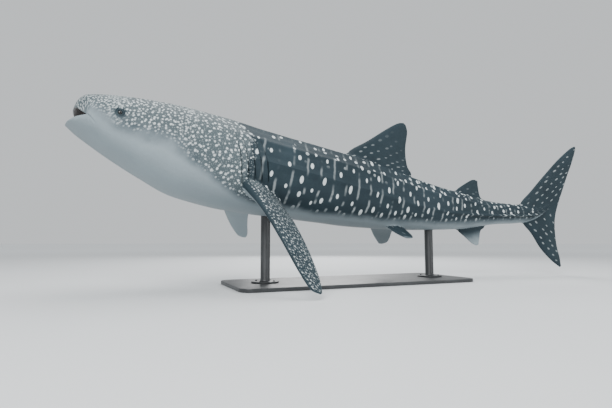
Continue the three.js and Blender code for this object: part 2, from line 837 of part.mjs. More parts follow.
const lowest = [...pectorals, tailFin].reduce(
  (low, made) => Math.min(low, made.boundingBox().min[2]),
  Infinity,
);
const SNOUT_HEIGHT = Math.round(FLOOR_CLEARANCE - lowest);
const baseMiddle = place(STAND.base.station, 0, 0);
const snout = new THREE.Vector3(
  Math.round(-baseMiddle.x),
  Math.round(-baseMiddle.y),
  SNOUT_HEIGHT,
);

function basePlate() {
  const { length, width, thickness, corner, bevel } = STAND.base;
  const [x, y] = [length / 2 - bevel, width / 2 - bevel];
  const shape = new THREE.Shape();
  shape.moveTo(-x + corner, -y);
  shape.lineTo(x - corner, -y);
  shape.absarc(x - corner, -y + corner, corner, -Math.PI / 2, 0);
  shape.lineTo(x, y - corner);
  shape.absarc(x - corner, y - corner, corner, 0, Math.PI / 2);
  shape.lineTo(-x + corner, y);
  shape.absarc(-x + corner, y - corner, corner, Math.PI / 2, Math.PI);
  shape.lineTo(-x, -y + corner);
  shape.absarc(-x + corner, -y + corner, corner, Math.PI, 1.5 * Math.PI);
  const geometry = new THREE.ExtrudeGeometry(shape, {
    depth: thickness - 2 * bevel,
    bevelThickness: bevel,
    bevelSize: bevel,
    bevelSegments: 2,
    curveSegments: 6,
  });
  geometry.translate(0, 0, bevel);
  return solid(geometry);
}

// A rod with a round flange on the plate, its top shaped to the belly it carries
function rod(station) {
  const { radius, sides, weld, flangeRadius, flangeThickness } = STAND.rod;
  const foot = place(station, 0, 0).add(snout);
  const floor = STAND.base.thickness + GAP;
  const profile = [
    new THREE.Vector2(0, floor),
    new THREE.Vector2(flangeRadius, floor),
    new THREE.Vector2(flangeRadius, floor + flangeThickness),
    new THREE.Vector2(radius + weld, floor + flangeThickness),
    new THREE.Vector2(radius, floor + flangeThickness + weld),
    new THREE.Vector2(radius, foot.z),
    new THREE.Vector2(0, foot.z),
  ];
  const geometry = new THREE.LatheGeometry(profile, sides);
  geometry.rotateX(Math.PI / 2);
  geometry.translate(foot.x, foot.y, 0);
  const merged = mergeVertices(stripped(geometry), 1e-3);
  const body = bodyWithGap.translate([snout.x, snout.y, snout.z]);
  return largest(facingOut(solid(merged), merged).subtract(body));
}

function stripped(geometry) {
  geometry.deleteAttribute("normal");
  geometry.deleteAttribute("uv");
  return geometry;
}

// Materials

const finish = {
  skin: new THREE.MeshStandardMaterial({ color: 0x3d4b52, roughness: 0.55, metalness: 0 }),
  eye: new THREE.MeshStandardMaterial({ color: 0x0c0f11, roughness: 0.12, metalness: 0 }),
  stand: new THREE.MeshStandardMaterial({ color: 0x2b2d2f, roughness: 0.45, metalness: 0.6 }),
};

// The scene graph

const shark = new THREE.Group();
shark.position.copy(snout);
const whole = new THREE.Group();
whole.add(shark);

function addPiece(parent, name, made, material) {
  const mesh = new THREE.Mesh(geometryOf(made), material);
  mesh.name = name;
  parent.add(mesh);
}

addPiece(shark, "head", head, finish.skin);
addPiece(shark, "lower_jaw", lowerJaw, finish.skin);
addPiece(shark, "gill_region", gillRegion, finish.skin);
addPiece(shark, "trunk", trunk, finish.skin);
addPiece(shark, "tail", tail, finish.skin);
addPiece(shark, "tail_stalk", tailStalk, finish.skin);
addPiece(shark, "tail_fin", tailFin, finish.skin);
addPiece(shark, "dorsal_fin_first", firstDorsal, finish.skin);
addPiece(shark, "dorsal_fin_second", secondDorsal, finish.skin);
addPiece(shark, "anal_fin", anal, finish.skin);
["left", "right"].forEach((name, i) => {
  addPiece(shark, `pectoral_fin_${name}`, pectorals[i], finish.skin);
  addPiece(shark, `pelvic_fin_${name}`, pelvics[i], finish.skin);
  addPiece(shark, `eye_${name}`, eyes[i], finish.eye);
});
addPiece(whole, "stand_base", basePlate(), finish.stand);
addPiece(whole, "stand_rod_front", rod(STAND.rodStations[0]), finish.stand);
addPiece(whole, "stand_rod_rear", rod(STAND.rodStations[1]), finish.stand);

export default whole;
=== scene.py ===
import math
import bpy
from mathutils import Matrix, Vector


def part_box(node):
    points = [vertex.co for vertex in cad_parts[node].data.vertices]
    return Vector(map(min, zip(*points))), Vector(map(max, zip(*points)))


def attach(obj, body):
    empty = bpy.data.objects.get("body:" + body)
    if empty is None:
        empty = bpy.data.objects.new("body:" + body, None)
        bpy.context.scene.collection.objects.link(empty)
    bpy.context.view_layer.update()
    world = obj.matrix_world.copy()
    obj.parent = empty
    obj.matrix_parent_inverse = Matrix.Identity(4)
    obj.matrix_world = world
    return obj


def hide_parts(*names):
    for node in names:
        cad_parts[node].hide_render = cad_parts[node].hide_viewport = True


bl_info = {
    "name": "Whale Shark Model",
    "version": (1, 0, 0),
    "blender": (4, 5, 0),
    "location": "View3D > Sidebar > Whale Shark",
    "description": "Dresses a life-size whale shark on its display stand with skin, eyes and a studio",
    "category": "Object",
}

import bmesh
import bpy
import numpy as np
from bpy.props import FloatProperty, FloatVectorProperty, IntProperty, PointerProperty
from mathutils import Matrix, Vector

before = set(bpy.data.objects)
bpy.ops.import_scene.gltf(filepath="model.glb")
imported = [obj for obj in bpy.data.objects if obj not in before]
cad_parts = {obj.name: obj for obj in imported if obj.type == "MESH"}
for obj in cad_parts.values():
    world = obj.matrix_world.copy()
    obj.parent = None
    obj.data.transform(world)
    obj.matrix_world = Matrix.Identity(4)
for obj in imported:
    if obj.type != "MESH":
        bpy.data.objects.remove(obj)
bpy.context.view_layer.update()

# The body in its own terms: stations run from the snout (0) to the tail, heights and widths are
# measured from the backbone's line, all as shares of LENGTH, and angles are 90 on the back, 0 on
# the widest line and -90 on the belly.

LENGTH = 7.0
SNOUT = np.array([-2.936, -0.195, 1.674])
# Degrees at the snout, then what the share of the length adds, and its square
POSE_YAW = (10.6, -37.3, 20.2)
POSE_PITCH = (13.8, -7.5, -10.5)
POSE_ROLL = (6.2, -3.1)
# The photo's camera: place in shares of LENGTH, and lens for a picture PHOTO_WIDTH pixels wide
CAMERA_FROM_SNOUT = np.array([0.067, -0.604, -0.169])
FOCAL_PIXELS = 421.3
PHOTO_WIDTH = 612

# station, back, belly, half width
OUTLINE = np.array([
    (0.0, 0.0155, -0.0235, 0.066),
    (0.03, 0.0295, -0.0365, 0.066),
    (0.06, 0.039, -0.0475, 0.07),
    (0.1, 0.048, -0.0605, 0.0745),
    (0.15, 0.055, -0.074, 0.078),
    (0.2, 0.058, -0.076, 0.0785),
    (0.27, 0.06, -0.071, 0.076),
    (0.35, 0.062, -0.064, 0.07),
    (0.43, 0.061, -0.059, 0.061),
    (0.52, 0.051, -0.051, 0.049),
    (0.6, 0.04, -0.042, 0.0375),
    (0.67, 0.032, -0.033, 0.029),
    (0.74, 0.023, -0.02, 0.022),
    (0.8, 0.021, -0.0145, 0.018),
])
# From BODY_END the body runs on, rising a little, to a point inside the tail fin
BODY_END = 0.8
STALK_REACH = 0.085
STALK_RISE = 0.03
# The section is squarer on the head than on the trunk, and widest a little below its middle
SECTION = {"power": 2.5, "fall": 0.4, "from": 0.05, "to": 0.35, "widest_drop": 0.1}
# The snout opens to its full width by HEAD_JOIN and to its full height over these runs; a higher
# power makes it blunter
SNOUT_WIDTH_POWER = 3.0
SNOUT_ABOVE = (0.009, 2.5)
SNOUT_BELOW = (0.016, 2.2)
HEAD_JOIN = 0.041  # where the mouth's own rings become plain rings of the body

# from, to: the ridge's angle at the shoulder and at the tail; the keel grows on the lowest one
RIDGES = (
    {"from": 64, "to": 60, "start": 0.14, "end": 0.66, "height": 0.0021},
    {"from": 40, "to": 34, "start": 0.17, "end": 0.76, "height": 0.0021},
    {"from": 15, "to": 0, "start": 0.2, "end": 0.83, "height": 0.0025},
)
RIDGE_HALF_ANGLE = 7.0
KEEL = {"start": 0.58, "full": 0.76, "height": 0.0083}

GILLS = {
    "first": 0.212,
    "pitch": 0.0102,
    "count": 5,
    "top": 38.0,
    "bottom": -20.0,
    "raised": 7,
    "lean": 0.028,
    "bow": 0.002,
}

# The mouth's front line: half width, station and height at the middle and at the corners, and the
# powers of its curves; then the lips' roll and the station of the mouth's back
MOUTH = {
    "half_width": 0.0595,
    "corner": (0.0145, -0.0105),
    "upper": (0.0002, 0.002),
    "lower": (-0.0022, -0.0215),
    "fullness": 0.82,
    "sweep": 3.0,
    "arch": 2.4,
    "roll": 0.0022,
    "reach": 0.075,
}
EYE = {"station": 0.049, "height": 0.004, "radius": 0.0034}
# Lid, furrow and fold round the eye: radius in eye radii, height and half width in metres
EYE_RINGS = ((1.0, 0.0055, 0.0058), (1.5, -0.0042, 0.0062), (2.0, 0.0026, 0.0075))
SPIRACLE = {"station": 0.0625, "height": 0.0075, "out": 0.0022}
NOSTRIL = {"aside": 0.043, "height": 0.003, "reach": 0.014}
# Folds behind the mouth's corner: fall, and depth and half width in metres
MOUTH_FOLDS = ((0.5, 0.010, 0.009), (1.1, 0.004, 0.015))

# Rows of the skin's mesh, from the back of the mouth outwards
MOUTH_ROWS = 19
LIP_ROWS = 6
SNOUT_ROWS = 45
STALK_ROWS = 16
OUTER_ROW = MOUTH_ROWS + LIP_ROWS
# Stations of the rows before and behind each gill slit, from the slit's own
GILL_RINGS = (
    -0.0052, -0.0038, -0.0024, -0.0013, -0.0005, 0.0001, 0.0007, 0.0013, 0.002, 0.003, 0.004,
)

# The large spots stand in rows, each this share of the way from the back to the belly apart and
# counted from BACK_ROW on the middle of the back
SPOT_ROW_PITCH = 0.13
BACK_ROW = 40
# From this column, behind the gills, the spots take up more of their rows towards the tail
SHOULDER_COLUMN = 620.0
# Each fin's marks start past this many metres along the pattern
FIN_METRES = 20
# Waves that make up the skin's uneven swellings
WAVES = 24

# Where the pale underside ends: station and angle. Behind station 0.21, round and behind the pectoral
# fins' roots, the edge runs lower, so the dark back colour stands in as painted shade under the fins;
# towards the tail it falls until the stalk is dark all round.
PALE_EDGE = np.array([
    (0.0, 15),
    (0.02, 13),
    (0.035, 7),
    (0.05, 2),
    (0.07, 4),
    (0.1, 9),
    (0.12, 8),
    (0.15, 0),
    (0.18, -12),
    (0.21, -25),
    # painted shade: the edge lies lowest under the pectoral fins
    (0.25, -42),
    (0.35, -44),
    (0.5, -38),
    (0.6, -34),
    (0.72, -32),
    (0.8, -38),
    (0.87, -65),
    (0.93, -100),
])


def smoothstep(x, low, high):
    t = np.clip((np.asarray(x, float) - low) / (high - low), 0, 1)
    return t * t * (3 - 2 * t)


def between(x, start, full, fall, end):
    """1 from full to fall, 0 before start and past end, smooth between them."""
    return smoothstep(x, start, full) * (1 - smoothstep(x, fall, end))


def bell(x, spread):
    """A smooth hump, 1 in the middle and close to 0 two spreads away."""
    return np.exp(-((x / spread) ** 2))


def through(column):
    """A smooth curve through one column of OUTLINE, with no overshoot between its rows."""
    xs, ys = OUTLINE[:, 0], OUTLINE[:, column]
    rise = np.diff(ys) / np.diff(xs)
    slope = np.empty_like(ys)
    slope[0], slope[-1] = rise[0], rise[-1]
    product = rise[:-1] * rise[1:]
    total = np.where(np.abs(rise[:-1] + rise[1:]) < 1e-12, 1, rise[:-1] + rise[1:])
    slope[1:-1] = np.where(product > 0, 2 * product / total, 0)

    def curve(x):
        at = np.clip(np.asarray(x, float), xs[0], xs[-1])
        i = np.clip(np.searchsorted(xs, at, side="right") - 1, 0, len(xs) - 2)
        span = xs[i + 1] - xs[i]
        t = (at - xs[i]) / span
        return (
            ys[i] * (1 + 2 * t) * (1 - t) ** 2
            + slope[i] * span * t * (1 - t) ** 2
            + ys[i + 1] * t * t * (3 - 2 * t)
            - slope[i + 1] * span * t * t * (1 - t)
        )

    return curve


back, belly, half_width = through(1), through(2), through(3)


def backbone(steps=250):
    """Places and axes along the backbone, from the pose's turning, dipping and rolling."""
    share = np.linspace(0, 1, steps + 1)
    yaw = np.radians(POSE_YAW[0] + POSE_YAW[1] * share + POSE_YAW[2] * share**2)
    pitch = np.radians(POSE_PITCH[0] + POSE_PITCH[1] * share + POSE_PITCH[2] * share**2)
    roll = np.radians(POSE_ROLL[0] + POSE_ROLL[1] * share)[:, None]
    tailward = np.stack(
        [np.cos(yaw) * np.cos(pitch), np.sin(yaw) * np.cos(pitch), -np.sin(pitch)], 1
    )
    left = np.cross(tailward, [0, 0, 1.0])
    left /= np.linalg.norm(left, axis=1)[:, None]
    left = left * np.cos(roll) + np.cross(tailward, left) * np.sin(roll)
    up = np.cross(left, tailward)
    step = LENGTH / steps / 2
    position = np.zeros((steps + 1, 3))
    position[1:] = np.cumsum((tailward[:-1] + tailward[1:]) * step, axis=0)
    return share, position + SNOUT, tailward, left, up


BACKBONE = backbone()


def place(station, left, up):
    """Points in the frame, in metres, from the body's own terms."""
    station, left, up = np.broadcast_arrays(*(np.asarray(v, float) for v in (station, left, up)))
    share, position, *axes = BACKBONE
    at = np.clip(station, 0, 1)

    def mix(rows):
        return np.stack([np.interp(at, share, rows[:, i]) for i in range(3)], -1)

    ahead, sideways, upward = (
        rows / np.linalg.norm(rows, axis=-1, keepdims=True) for rows in map(mix, axes)
    )
    return (
        mix(position)
        + ahead * ((station - at) * LENGTH)[..., None]
        + sideways * (left * LENGTH)[..., None]
        + upward * (up * LENGTH)[..., None]
    )


def ridge_angle(ridge, station):
    return ridge["from"] + (ridge["to"] - ridge["from"]) * smoothstep(station, 0.25, 0.7)


def ridge_height(station, angle):
    """How far the ridges and the keel stand out of the section, as a share of LENGTH."""
    height = np.zeros(np.broadcast(station, angle).shape)
    for ridge in RIDGES:
        off = np.abs(angle - ridge_angle(ridge, station)) / RIDGE_HALF_ANGLE
        start, end = ridge["start"], ridge["end"]
        raised = ridge["height"] * between(station, start, start + 0.06, end - 0.08, end)
        if ridge is RIDGES[-1]:
            raised = raised + KEEL["height"] * smoothstep(station, KEEL["start"], KEEL["full"])
        height = height + raised * np.clip(1 - off, 0, 1) ** 1.3
    return height


def widest(station):
    """Height of the body's widest line."""
    top, bottom = back(station), belly(station)
    return (top + bottom) / 2 - SECTION["widest_drop"] * (top - bottom)


def section(station, angle):
    """Width and height of the body's own section at an angle, ridges and keel included."""
    fall = SECTION["fall"] * smoothstep(station, SECTION["from"], SECTION["to"])
    power = 2 / (SECTION["power"] - fall)
    across = np.cos(np.radians(angle))
    upward = np.sin(np.radians(angle))
    reach = np.abs(np.where(upward >= 0, back(station), belly(station)) - widest(station))
    raised = ridge_height(station, angle)
    width = half_width(station) * np.clip(across, 0, 1) ** power + raised * across
    height = widest(station) + reach * np.sign(upward) * np.abs(upward) ** power + raised * upward
    return width, height


def opening(run, full, power):
    """Share of the full size that the snout has opened to after a run from its front."""
    x = np.clip(run / full, 0, 1)
    return (1 - (1 - x) ** power) ** (1 / power)


# Settings that a user would change


def colour(name, description, default):
    return FloatVectorProperty(
        name=name, description=description, default=default, subtype="COLOR", min=0, max=1
    )


def metres(name, description, default, high):
    return FloatProperty(
        name=name, description=description, default=default, min=0, max=high, unit="LENGTH"
    )


def turning(name, description, degrees):
    return FloatProperty(
        name=name, description=description, default=math.radians(degrees),
        subtype="ANGLE", unit="ROTATION",
    )


class WhaleSharkSettings(bpy.types.PropertyGroup):
    back_colour: colour(
        "Back", "Skin of the back and flanks between the spots", (0.020, 0.033, 0.041)
    )
    # Painted shade: the pale underside is set a darker grey than the skin's own white, standing in for
    # the shade the belly falls in.
    shaded_belly_colour: colour("Belly", "Pale skin of the underside", (0.25, 0.30, 0.325))
    head_colour: colour(
        "Head", "Greyer skin between the flecks of the head and gills", (0.125, 0.155, 0.165)
    )
    spot_colour: colour("Spots", "Pale spots and bars", (0.66, 0.72, 0.73))
    mouth_colour: colour("Mouth", "Lining of the mouth", (0.20, 0.19, 0.19))
    gill_depth: metres("Gill Depth", "How deep the gill slits go under the skin", 0.034, 0.1)
    wrinkle: metres("Wrinkle", "Height of the skin's low uneven swellings", 0.0022, 0.02)
    seed: IntProperty(
        name="Seed",
        description="Start of the random draws for the skin's swellings",
        default=7,
        min=0,
    )


class WhaleSharkEyeSettings(bpy.types.PropertyGroup):
    iris_colour: colour("Iris", "Ring of colour round the pupil", (0.012, 0.012, 0.012))
    socket_depth: metres(
        "Socket Depth", "How deep the skin falls in round the eyeball", 0.024, 0.05
    )


class WhaleSharkStandSettings(bpy.types.PropertyGroup):
    paint_colour: colour(
        "Paint", "Paint of the base plate and the rods", (0.022, 0.024, 0.026)
    )
    rod_sides: IntProperty(
        name="Rod Sides",
        description="Number of flats round a rod",
        default=72,
        min=12,
        max=256,
    )


class WhaleSharkStudioSettings(bpy.types.PropertyGroup):
    floor_colour: colour("Floor", "Pale floor under the model", (0.62, 0.64, 0.65))
    key_power: FloatProperty(
        name="Key Light",
        description="Strength of the large soft light over the camera's shoulder",
        default=820,
        min=0,
        subtype="POWER",
        unit="POWER",
    )
    camera_place: FloatVectorProperty(
        name="Camera",
        description="Where the camera stands",
        default=(CAMERA_FROM_SNOUT * LENGTH + SNOUT).tolist(),
        subtype="TRANSLATION",
        unit="LENGTH",
    )
    camera_azimuth: turning("Azimuth", "Way the camera looks, turned from +Y towards +X", 23.18)
    camera_tilt: turning("Tilt", "How far the camera looks up", 5.0)


# Shader nodes as expressions


class Number:
    """A number socket that can be used in Python sums; each sum adds its Math nodes."""

    def __init__(self, finish, socket):
        self.finish, self.socket = finish, socket

    def math(self, operation, *others):
        sockets = dict(enumerate((self, *others)))
        return self.finish.number("ShaderNodeMath", {"operation": operation}, sockets)

    def reflected(self, operation, other):
        return self.finish.number(
            "ShaderNodeMath", {"operation": operation}, {0: other, 1: self}
        )

    def __add__(self, other):
        return self.math("ADD", other)

    __radd__ = __add__

    def __sub__(self, other):
        return self.math("SUBTRACT", other)

    def __rsub__(self, other):
        return self.reflected("SUBTRACT", other)

    def __mul__(self, other):
        return self.math("MULTIPLY", other)

    __rmul__ = __mul__

    def __truediv__(self, other):
        return self.math("DIVIDE", other)

    def __rtruediv__(self, other):
        return self.reflected("DIVIDE", other)

    def floor(self):
        return self.math("FLOOR")

    def fraction(self):
        return self.math("FRACT")

    def size(self):
        return self.math("ABSOLUTE")

    def most(self, other):
        return self.math("MAXIMUM", other)

    def step(self, low, high):
        """0 below low and 1 above high, smooth between them; falls if low is above high."""
        settings = {"interpolation_type": "SMOOTHSTEP"}
        ends = (low, high, 0, 1) if low < high else (high, low, 1, 0)
        sockets = {"Value": self, 1: ends[0], 2: ends[1], 3: ends[2], 4: ends[3]}
        return self.finish.number("ShaderNodeMapRange", settings, sockets)


class Finish:
    """A material under construction."""

    def __init__(self, name):
        self.material = bpy.data.materials.new(name)
        self.material.use_nodes = True
        self.tree = self.material.node_tree
        self.shader = self.tree.nodes["Principled BSDF"]

    def feed(self, socket, value):
        """Links a socket to a value's socket, or sets it to a plain value."""
        source = getattr(value, "socket", value)
        if isinstance(source, bpy.types.NodeSocket):
            self.tree.links.new(source, socket)
        elif socket.type == "RGBA":
            socket.default_value = (*tuple(source)[:3], 1.0)
        else:
            socket.default_value = source

    def node(self, kind, settings=None, sockets=None):
        made = self.tree.nodes.new(kind)
        for key, value in (settings or {}).items():
            setattr(made, key, value)
        for key, value in (sockets or {}).items():
            self.feed(made.inputs[key], value)
        return made

    def number(self, kind, settings, sockets):
        return Number(self, self.node(kind, settings, sockets).outputs[0])

    def uv(self, name):
        """The two numbers of one of the piece's own maps."""
        made = self.node("ShaderNodeUVMap", {"uv_map": name})
        parts = self.node("ShaderNodeSeparateXYZ", {}, {0: made.outputs[0]})
        return Number(self, parts.outputs[0]), Number(self, parts.outputs[1])

    def point(self, x, y):
        return self.node("ShaderNodeCombineXYZ", {}, {0: x, 1: y}).outputs[0]

    def noise(self, vector, scale, detail=3.0, rough=0.55, distortion=0.0):
        sockets = {
            "Vector": vector,
            "Scale": scale,
            "Detail": detail,
            "Roughness": rough,
            "Distortion": distortion,
        }
        return self.number("ShaderNodeTexNoise", {"noise_dimensions": "3D"}, sockets)

    def cells(self, vector, scale, randomness):
        """Distance to the nearest cell's middle, and a number that differs from cell to cell."""
        settings = {"voronoi_dimensions": "2D", "feature": "F1"}
        sockets = {"Vector": vector, "Scale": scale, "Randomness": randomness}
        made = self.node("ShaderNodeTexVoronoi", settings, sockets)
        chance = self.node("ShaderNodeSeparateColor", {}, {0: made.outputs["Color"]})
        return Number(self, made.outputs["Distance"]), Number(self, chance.outputs[0])

    def chances(self, vector):
        """Three even random numbers that depend only on the vector."""
        made = self.node("ShaderNodeTexWhiteNoise", {"noise_dimensions": "2D"}, {"Vector": vector})
        parts = self.node("ShaderNodeSeparateColor", {}, {0: made.outputs["Color"]})
        return tuple(Number(self, output) for output in parts.outputs)

    def blend(self, share, first, second):
        """Colour that goes from first to second as share goes from 0 to 1."""
        settings = {"data_type": "RGBA", "clamp_factor": True}
        return self.node("ShaderNodeMix", settings, {0: share, 6: first, 7: second}).outputs[2]

    def clouded(self, share, colour, low, high):
        """A colour that goes from low to high times its brightness as share goes from 0 to 1."""
        darker = tuple(c * low for c in colour)
        paler = tuple(min(1, c * high) for c in colour)
        return self.blend(share, darker, paler)

    def set(self, **sockets):
        """Sets or links the main shader's sockets; an underscore stands for a space."""
        for key, value in sockets.items():
            self.feed(self.shader.inputs[key.replace("_", " ")], value)

    def bump(self, height, distance, strength):
        sockets = {"Height": height, "Distance": distance, "Strength": strength}
        self.set(Normal=self.node("ShaderNodeBump", {}, sockets).outputs[0])


# Meshes


def as_mesh(bm, name):
    mesh = bpy.data.meshes.new(name)
    bm.to_mesh(mesh)
    bm.free()
    return mesh


def linked(name, data):
    """A new object in the scene."""
    made = bpy.data.objects.new(name, data)
    bpy.context.scene.collection.objects.link(made)
    return made


def sheet(name, points, maps):
    """A grid set on rows of points, its seam and poles closed, with maps at its corners.

    points is rows by columns by 3; each map is rows by columns by 2."""
    rows, columns = points.shape[:2]
    bm = bmesh.new()
    bmesh.ops.create_grid(bm, x_segments=rows - 1, y_segments=columns - 1, size=1)
    mesh = as_mesh(bm, name)
    flat = np.empty(len(mesh.vertices) * 3)
    mesh.vertices.foreach_get("co", flat)
    flat = flat.reshape(-1, 3)
    row = np.rint((flat[:, 0] + 1) / 2 * (rows - 1)).astype(int)
    column = np.rint((flat[:, 1] + 1) / 2 * (columns - 1)).astype(int)
    mesh.vertices.foreach_set("co", points[row, column].astype(np.float32).ravel())
    corner = np.empty(len(mesh.loops), np.int32)
    mesh.loops.foreach_get("vertex_index", corner)
    for key, values in maps.items():
        layer = mesh.uv_layers.new(name=key)
        layer.data.foreach_set("uv", values[row, column][corner].astype(np.float32).ravel())
    bm = bmesh.new()
    bm.from_mesh(mesh)
    bmesh.ops.remove_doubles(bm, verts=bm.verts, dist=2e-5)
    bmesh.ops.dissolve_degenerate(bm, edges=bm.edges, dist=1e-5)
    rims = [edge for edge in bm.edges if edge.is_boundary]
    if rims:
        bmesh.ops.holes_fill(bm, edges=rims, sides=0)
    bmesh.ops.recalc_face_normals(bm, faces=bm.faces)
    if bm.calc_volume(signed=True) < 0:
        bmesh.ops.reverse_faces(bm, faces=bm.faces)
    bm.to_mesh(mesh)
    bm.free()
    return mesh


def show(name, mesh, material):
    """A smooth object for a finished mesh, riding on the model."""
    piece = linked(name, mesh)
    mesh.materials.clear()
    mesh.materials.append(material)
    mesh.polygons.foreach_set("use_smooth", [True] * len(mesh.polygons))
    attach(piece, "root")
    return piece


def normals(points):
    """Outward directions of a closed sheet's points (rows by columns)."""
    ahead = np.gradient(points, axis=0)
    ring = points[:, :-1]
    around = np.roll(ring, -1, axis=1) - np.roll(ring, 1, axis=1)
    around = np.concatenate([around, around[:, :1]], axis=1)
    out = np.cross(around, ahead)
    return out / np.maximum(np.linalg.norm(out, axis=-1, keepdims=True), 1e-12)


def eye_centre():
    """The eye's place in the body's own terms on the left side: station, width, height, angle."""
    angles = np.linspace(-20, 50, 400)
    width, height = section(np.full_like(angles, EYE["station"]), angles)
    at = int(np.argmin(np.abs(height - EYE["height"])))
    return EYE["station"], float(width[at]), EYE["height"], float(angles[at])


def ring_angles():
    """Angles of the skin's lines down one side, closest together round the eye."""
    eye = eye_centre()[3]
    spacing = []
    angle = 90.0
    while angle > -90:
        spacing.append(angle)
        angle -= 0.42 if abs(angle - eye) < 6 else (1.75 if -30 < angle < 72 else 3.0)
    return np.array([*spacing, -90.0])


SIDE_ANGLES = ring_angles()
AROUND = np.concatenate([SIDE_ANGLES, SIDE_ANGLES[::-1][1:]])
SIDE = np.concatenate([np.ones(len(SIDE_ANGLES)), -np.ones(len(SIDE_ANGLES) - 1)])


def slit_station(index, offset):
    return GILLS["first"] + GILLS["pitch"] * index + offset


def gill_bow(angle):
    """How far the gill slits bow away from straight up and down, as a share of LENGTH."""
    share = np.clip((GILLS["top"] - angle) / (GILLS["top"] - GILLS["bottom"]), -0.3, 1.3)
    swell = np.sin(np.pi * np.clip(share, 0, 1))
    return GILLS["lean"] * (share - 0.5) + GILLS["bow"] * (swell - 0.6)


def body_stations():
    """Stations of the plain rings: close together at the eye and at each gill slit."""
    past_eye = EYE["station"] + 0.008
    runs = (
        (HEAD_JOIN, past_eye, 0.0005),
        (past_eye, 0.068, 0.0011),
        (0.068, 0.205, 0.004),
        (0.2605, BODY_END, 0.0042),
    )
    stations = [station for run in runs for station in np.arange(*run)]
    for index in range(GILLS["count"]):
        stations += [slit_station(index, offset) for offset in GILL_RINGS]
    return np.unique(np.round(stations, 5))


def mouth_rim():
    """Station, width and height of the lips' front line at each angle round the body."""
    upward = AROUND > 0
    width = MOUTH["half_width"] * np.clip(np.cos(np.radians(AROUND)), 0, 1) ** MOUTH["fullness"]
    aside = width / MOUTH["half_width"]
    front = np.where(upward, MOUTH["upper"][0], MOUTH["lower"][0])
    level = np.where(upward, MOUTH["upper"][1], MOUTH["lower"][1])
    corner_station, corner_level = MOUTH["corner"]
    station = front + (corner_station - front) * aside ** MOUTH["sweep"]
    height = corner_level + (level - corner_level) * (1 - aside ** MOUTH["arch"])
    return station, width, height


def body_rows():
    """Rings of the whole body in its own terms, from the back of the mouth out over the lips,
    along the body and to a point inside the tail fin. Gives station, width and height."""
    rim_station, rim_width, rim_height = mouth_rim()
    turn = np.where(AROUND > 0, 1.0, -1.0)
    gape = np.abs(rim_height - MOUTH["corner"][1])
    roll = np.minimum(MOUTH["roll"], gape * 0.42)
    lip_station = rim_station + roll
    lip_height = rim_height - turn * roll
    rows = []
    middle = MOUTH["corner"][1]
    for v in np.linspace(1, 0, MOUTH_ROWS + 1)[:-1]:
        close = np.clip(1 - v**5, 0, 1) ** 0.4
        swell = 1 + 1.5 * math.sin(math.pi * min(v * 0.75, 1))
        level = middle - 0.007 * v
        rows.append((
            lip_station + (MOUTH["reach"] - lip_station) * v,
            rim_width * (1 - 0.14 * v) * close,
            level + (lip_height - level) * swell * close,
        ))
    for turned in np.linspace(90, 0, LIP_ROWS + 1)[:-1]:
        sine, cosine = math.sin(math.radians(turned)), math.cos(math.radians(turned))
        rows.append((
            rim_station + roll * (1 - cosine),
            rim_width,
            rim_height - turn * roll * sine,
        ))
    for part in np.linspace(0, 1, SNOUT_ROWS + 1)[:-1]:
        station = rim_station + (HEAD_JOIN - rim_station) * (1 - math.cos(part * math.pi / 2))
        width, height = section(station, AROUND)
        run = station - rim_station
        wide = opening(run, HEAD_JOIN - rim_station, SNOUT_WIDTH_POWER)
        deep = np.where(turn > 0, opening(run, *SNOUT_ABOVE), opening(run, *SNOUT_BELOW))
        rows.append((
            station,
            rim_width + (width - rim_width) * wide,
            rim_height + (height - rim_height) * deep,
        ))
    for station in body_stations():
        at = station + gill_bow(AROUND) * between(station, 0.12, 0.2, 0.262, 0.34)
        width, height = section(at, AROUND)
        rows.append((at, width, height))
    end_width, end_height = section(BODY_END, AROUND)
    end_middle = widest(BODY_END)
    for t in np.linspace(0, 1, STALK_ROWS):
        size = (1 - t) ** 0.8
        rows.append((
            np.full_like(AROUND, BODY_END + STALK_REACH * t),
            end_width * size,
            STALK_RISE * t * t + end_middle + (end_height - end_middle) * size,
        ))
    return tuple(np.stack([row[i] * np.ones_like(AROUND) for row in rows]) for i in range(3))


def near(station, width, height, spot):
    """Distance in metres from each point of the skin to a spot on its own side of the head."""
    apart = np.stack([station - spot[0], width - spot[1], height - spot[2]], -1)
    return np.linalg.norm(apart, axis=-1) * LENGTH


def gill_relief(station, angle, depth):
    """Five slits, each with a raised flap in front of it and a shallow dip behind."""
    relief = np.zeros(station.shape)
    straight = station - gill_bow(angle)
    for index in range(GILLS["count"]):
        bottom = GILLS["bottom"] + max(0, index - 2) * GILLS["raised"]
        ends = between(angle, bottom - 2, bottom + 9, GILLS["top"] - 10, GILLS["top"] + 2)
        x = (straight - slit_station(index, 0)) * LENGTH
        flap = 0.011 * bell(x + 0.004, 0.02) * (x < 0.002)
        slit = -depth * bell(x - 0.006, 0.0046)
        behind = -0.005 * bell(x - 0.018, 0.016) * (x > 0)
        relief += (flap + slit + behind) * ends
    return relief


def eye_relief(station, width, height, socket_depth):
    """The socket with its lid, furrow and fold, and the spiracle behind it."""
    centre = eye_centre()
    away = near(station, width, height, centre)
    radius = EYE["radius"] * LENGTH
    relief = 0.004 * bell(away, 0.085)
    for ring, rise, spread in EYE_RINGS:
        relief = relief + rise * bell(away - radius * ring, spread)
    relief = relief - socket_depth * (1 - smoothstep(away, radius * 0.5, radius * 0.86))
    spiracle = (SPIRACLE["station"], centre[1] + SPIRACLE["out"], SPIRACLE["height"])
    away = near(station, width, height, spiracle)
    return relief + 0.005 * bell(away, 0.034) - 0.022 * bell(away, 0.0115)


def nostril_relief(station, angle, width, height):
    """A short slit down to the lip on each side, with a stub of a barbel on its inner side."""
    aside = (width - NOSTRIL["aside"]) * LENGTH
    level = (height - NOSTRIL["height"]) * LENGTH
    pit = bell(aside, 0.0095) * bell(level, 0.016)
    stub = bell(aside + 0.024, 0.012) * bell(level + 0.008, 0.013)
    return np.where((station < NOSTRIL["reach"]) & (angle > 0), 0.012 * stub - 0.020 * pit, 0)


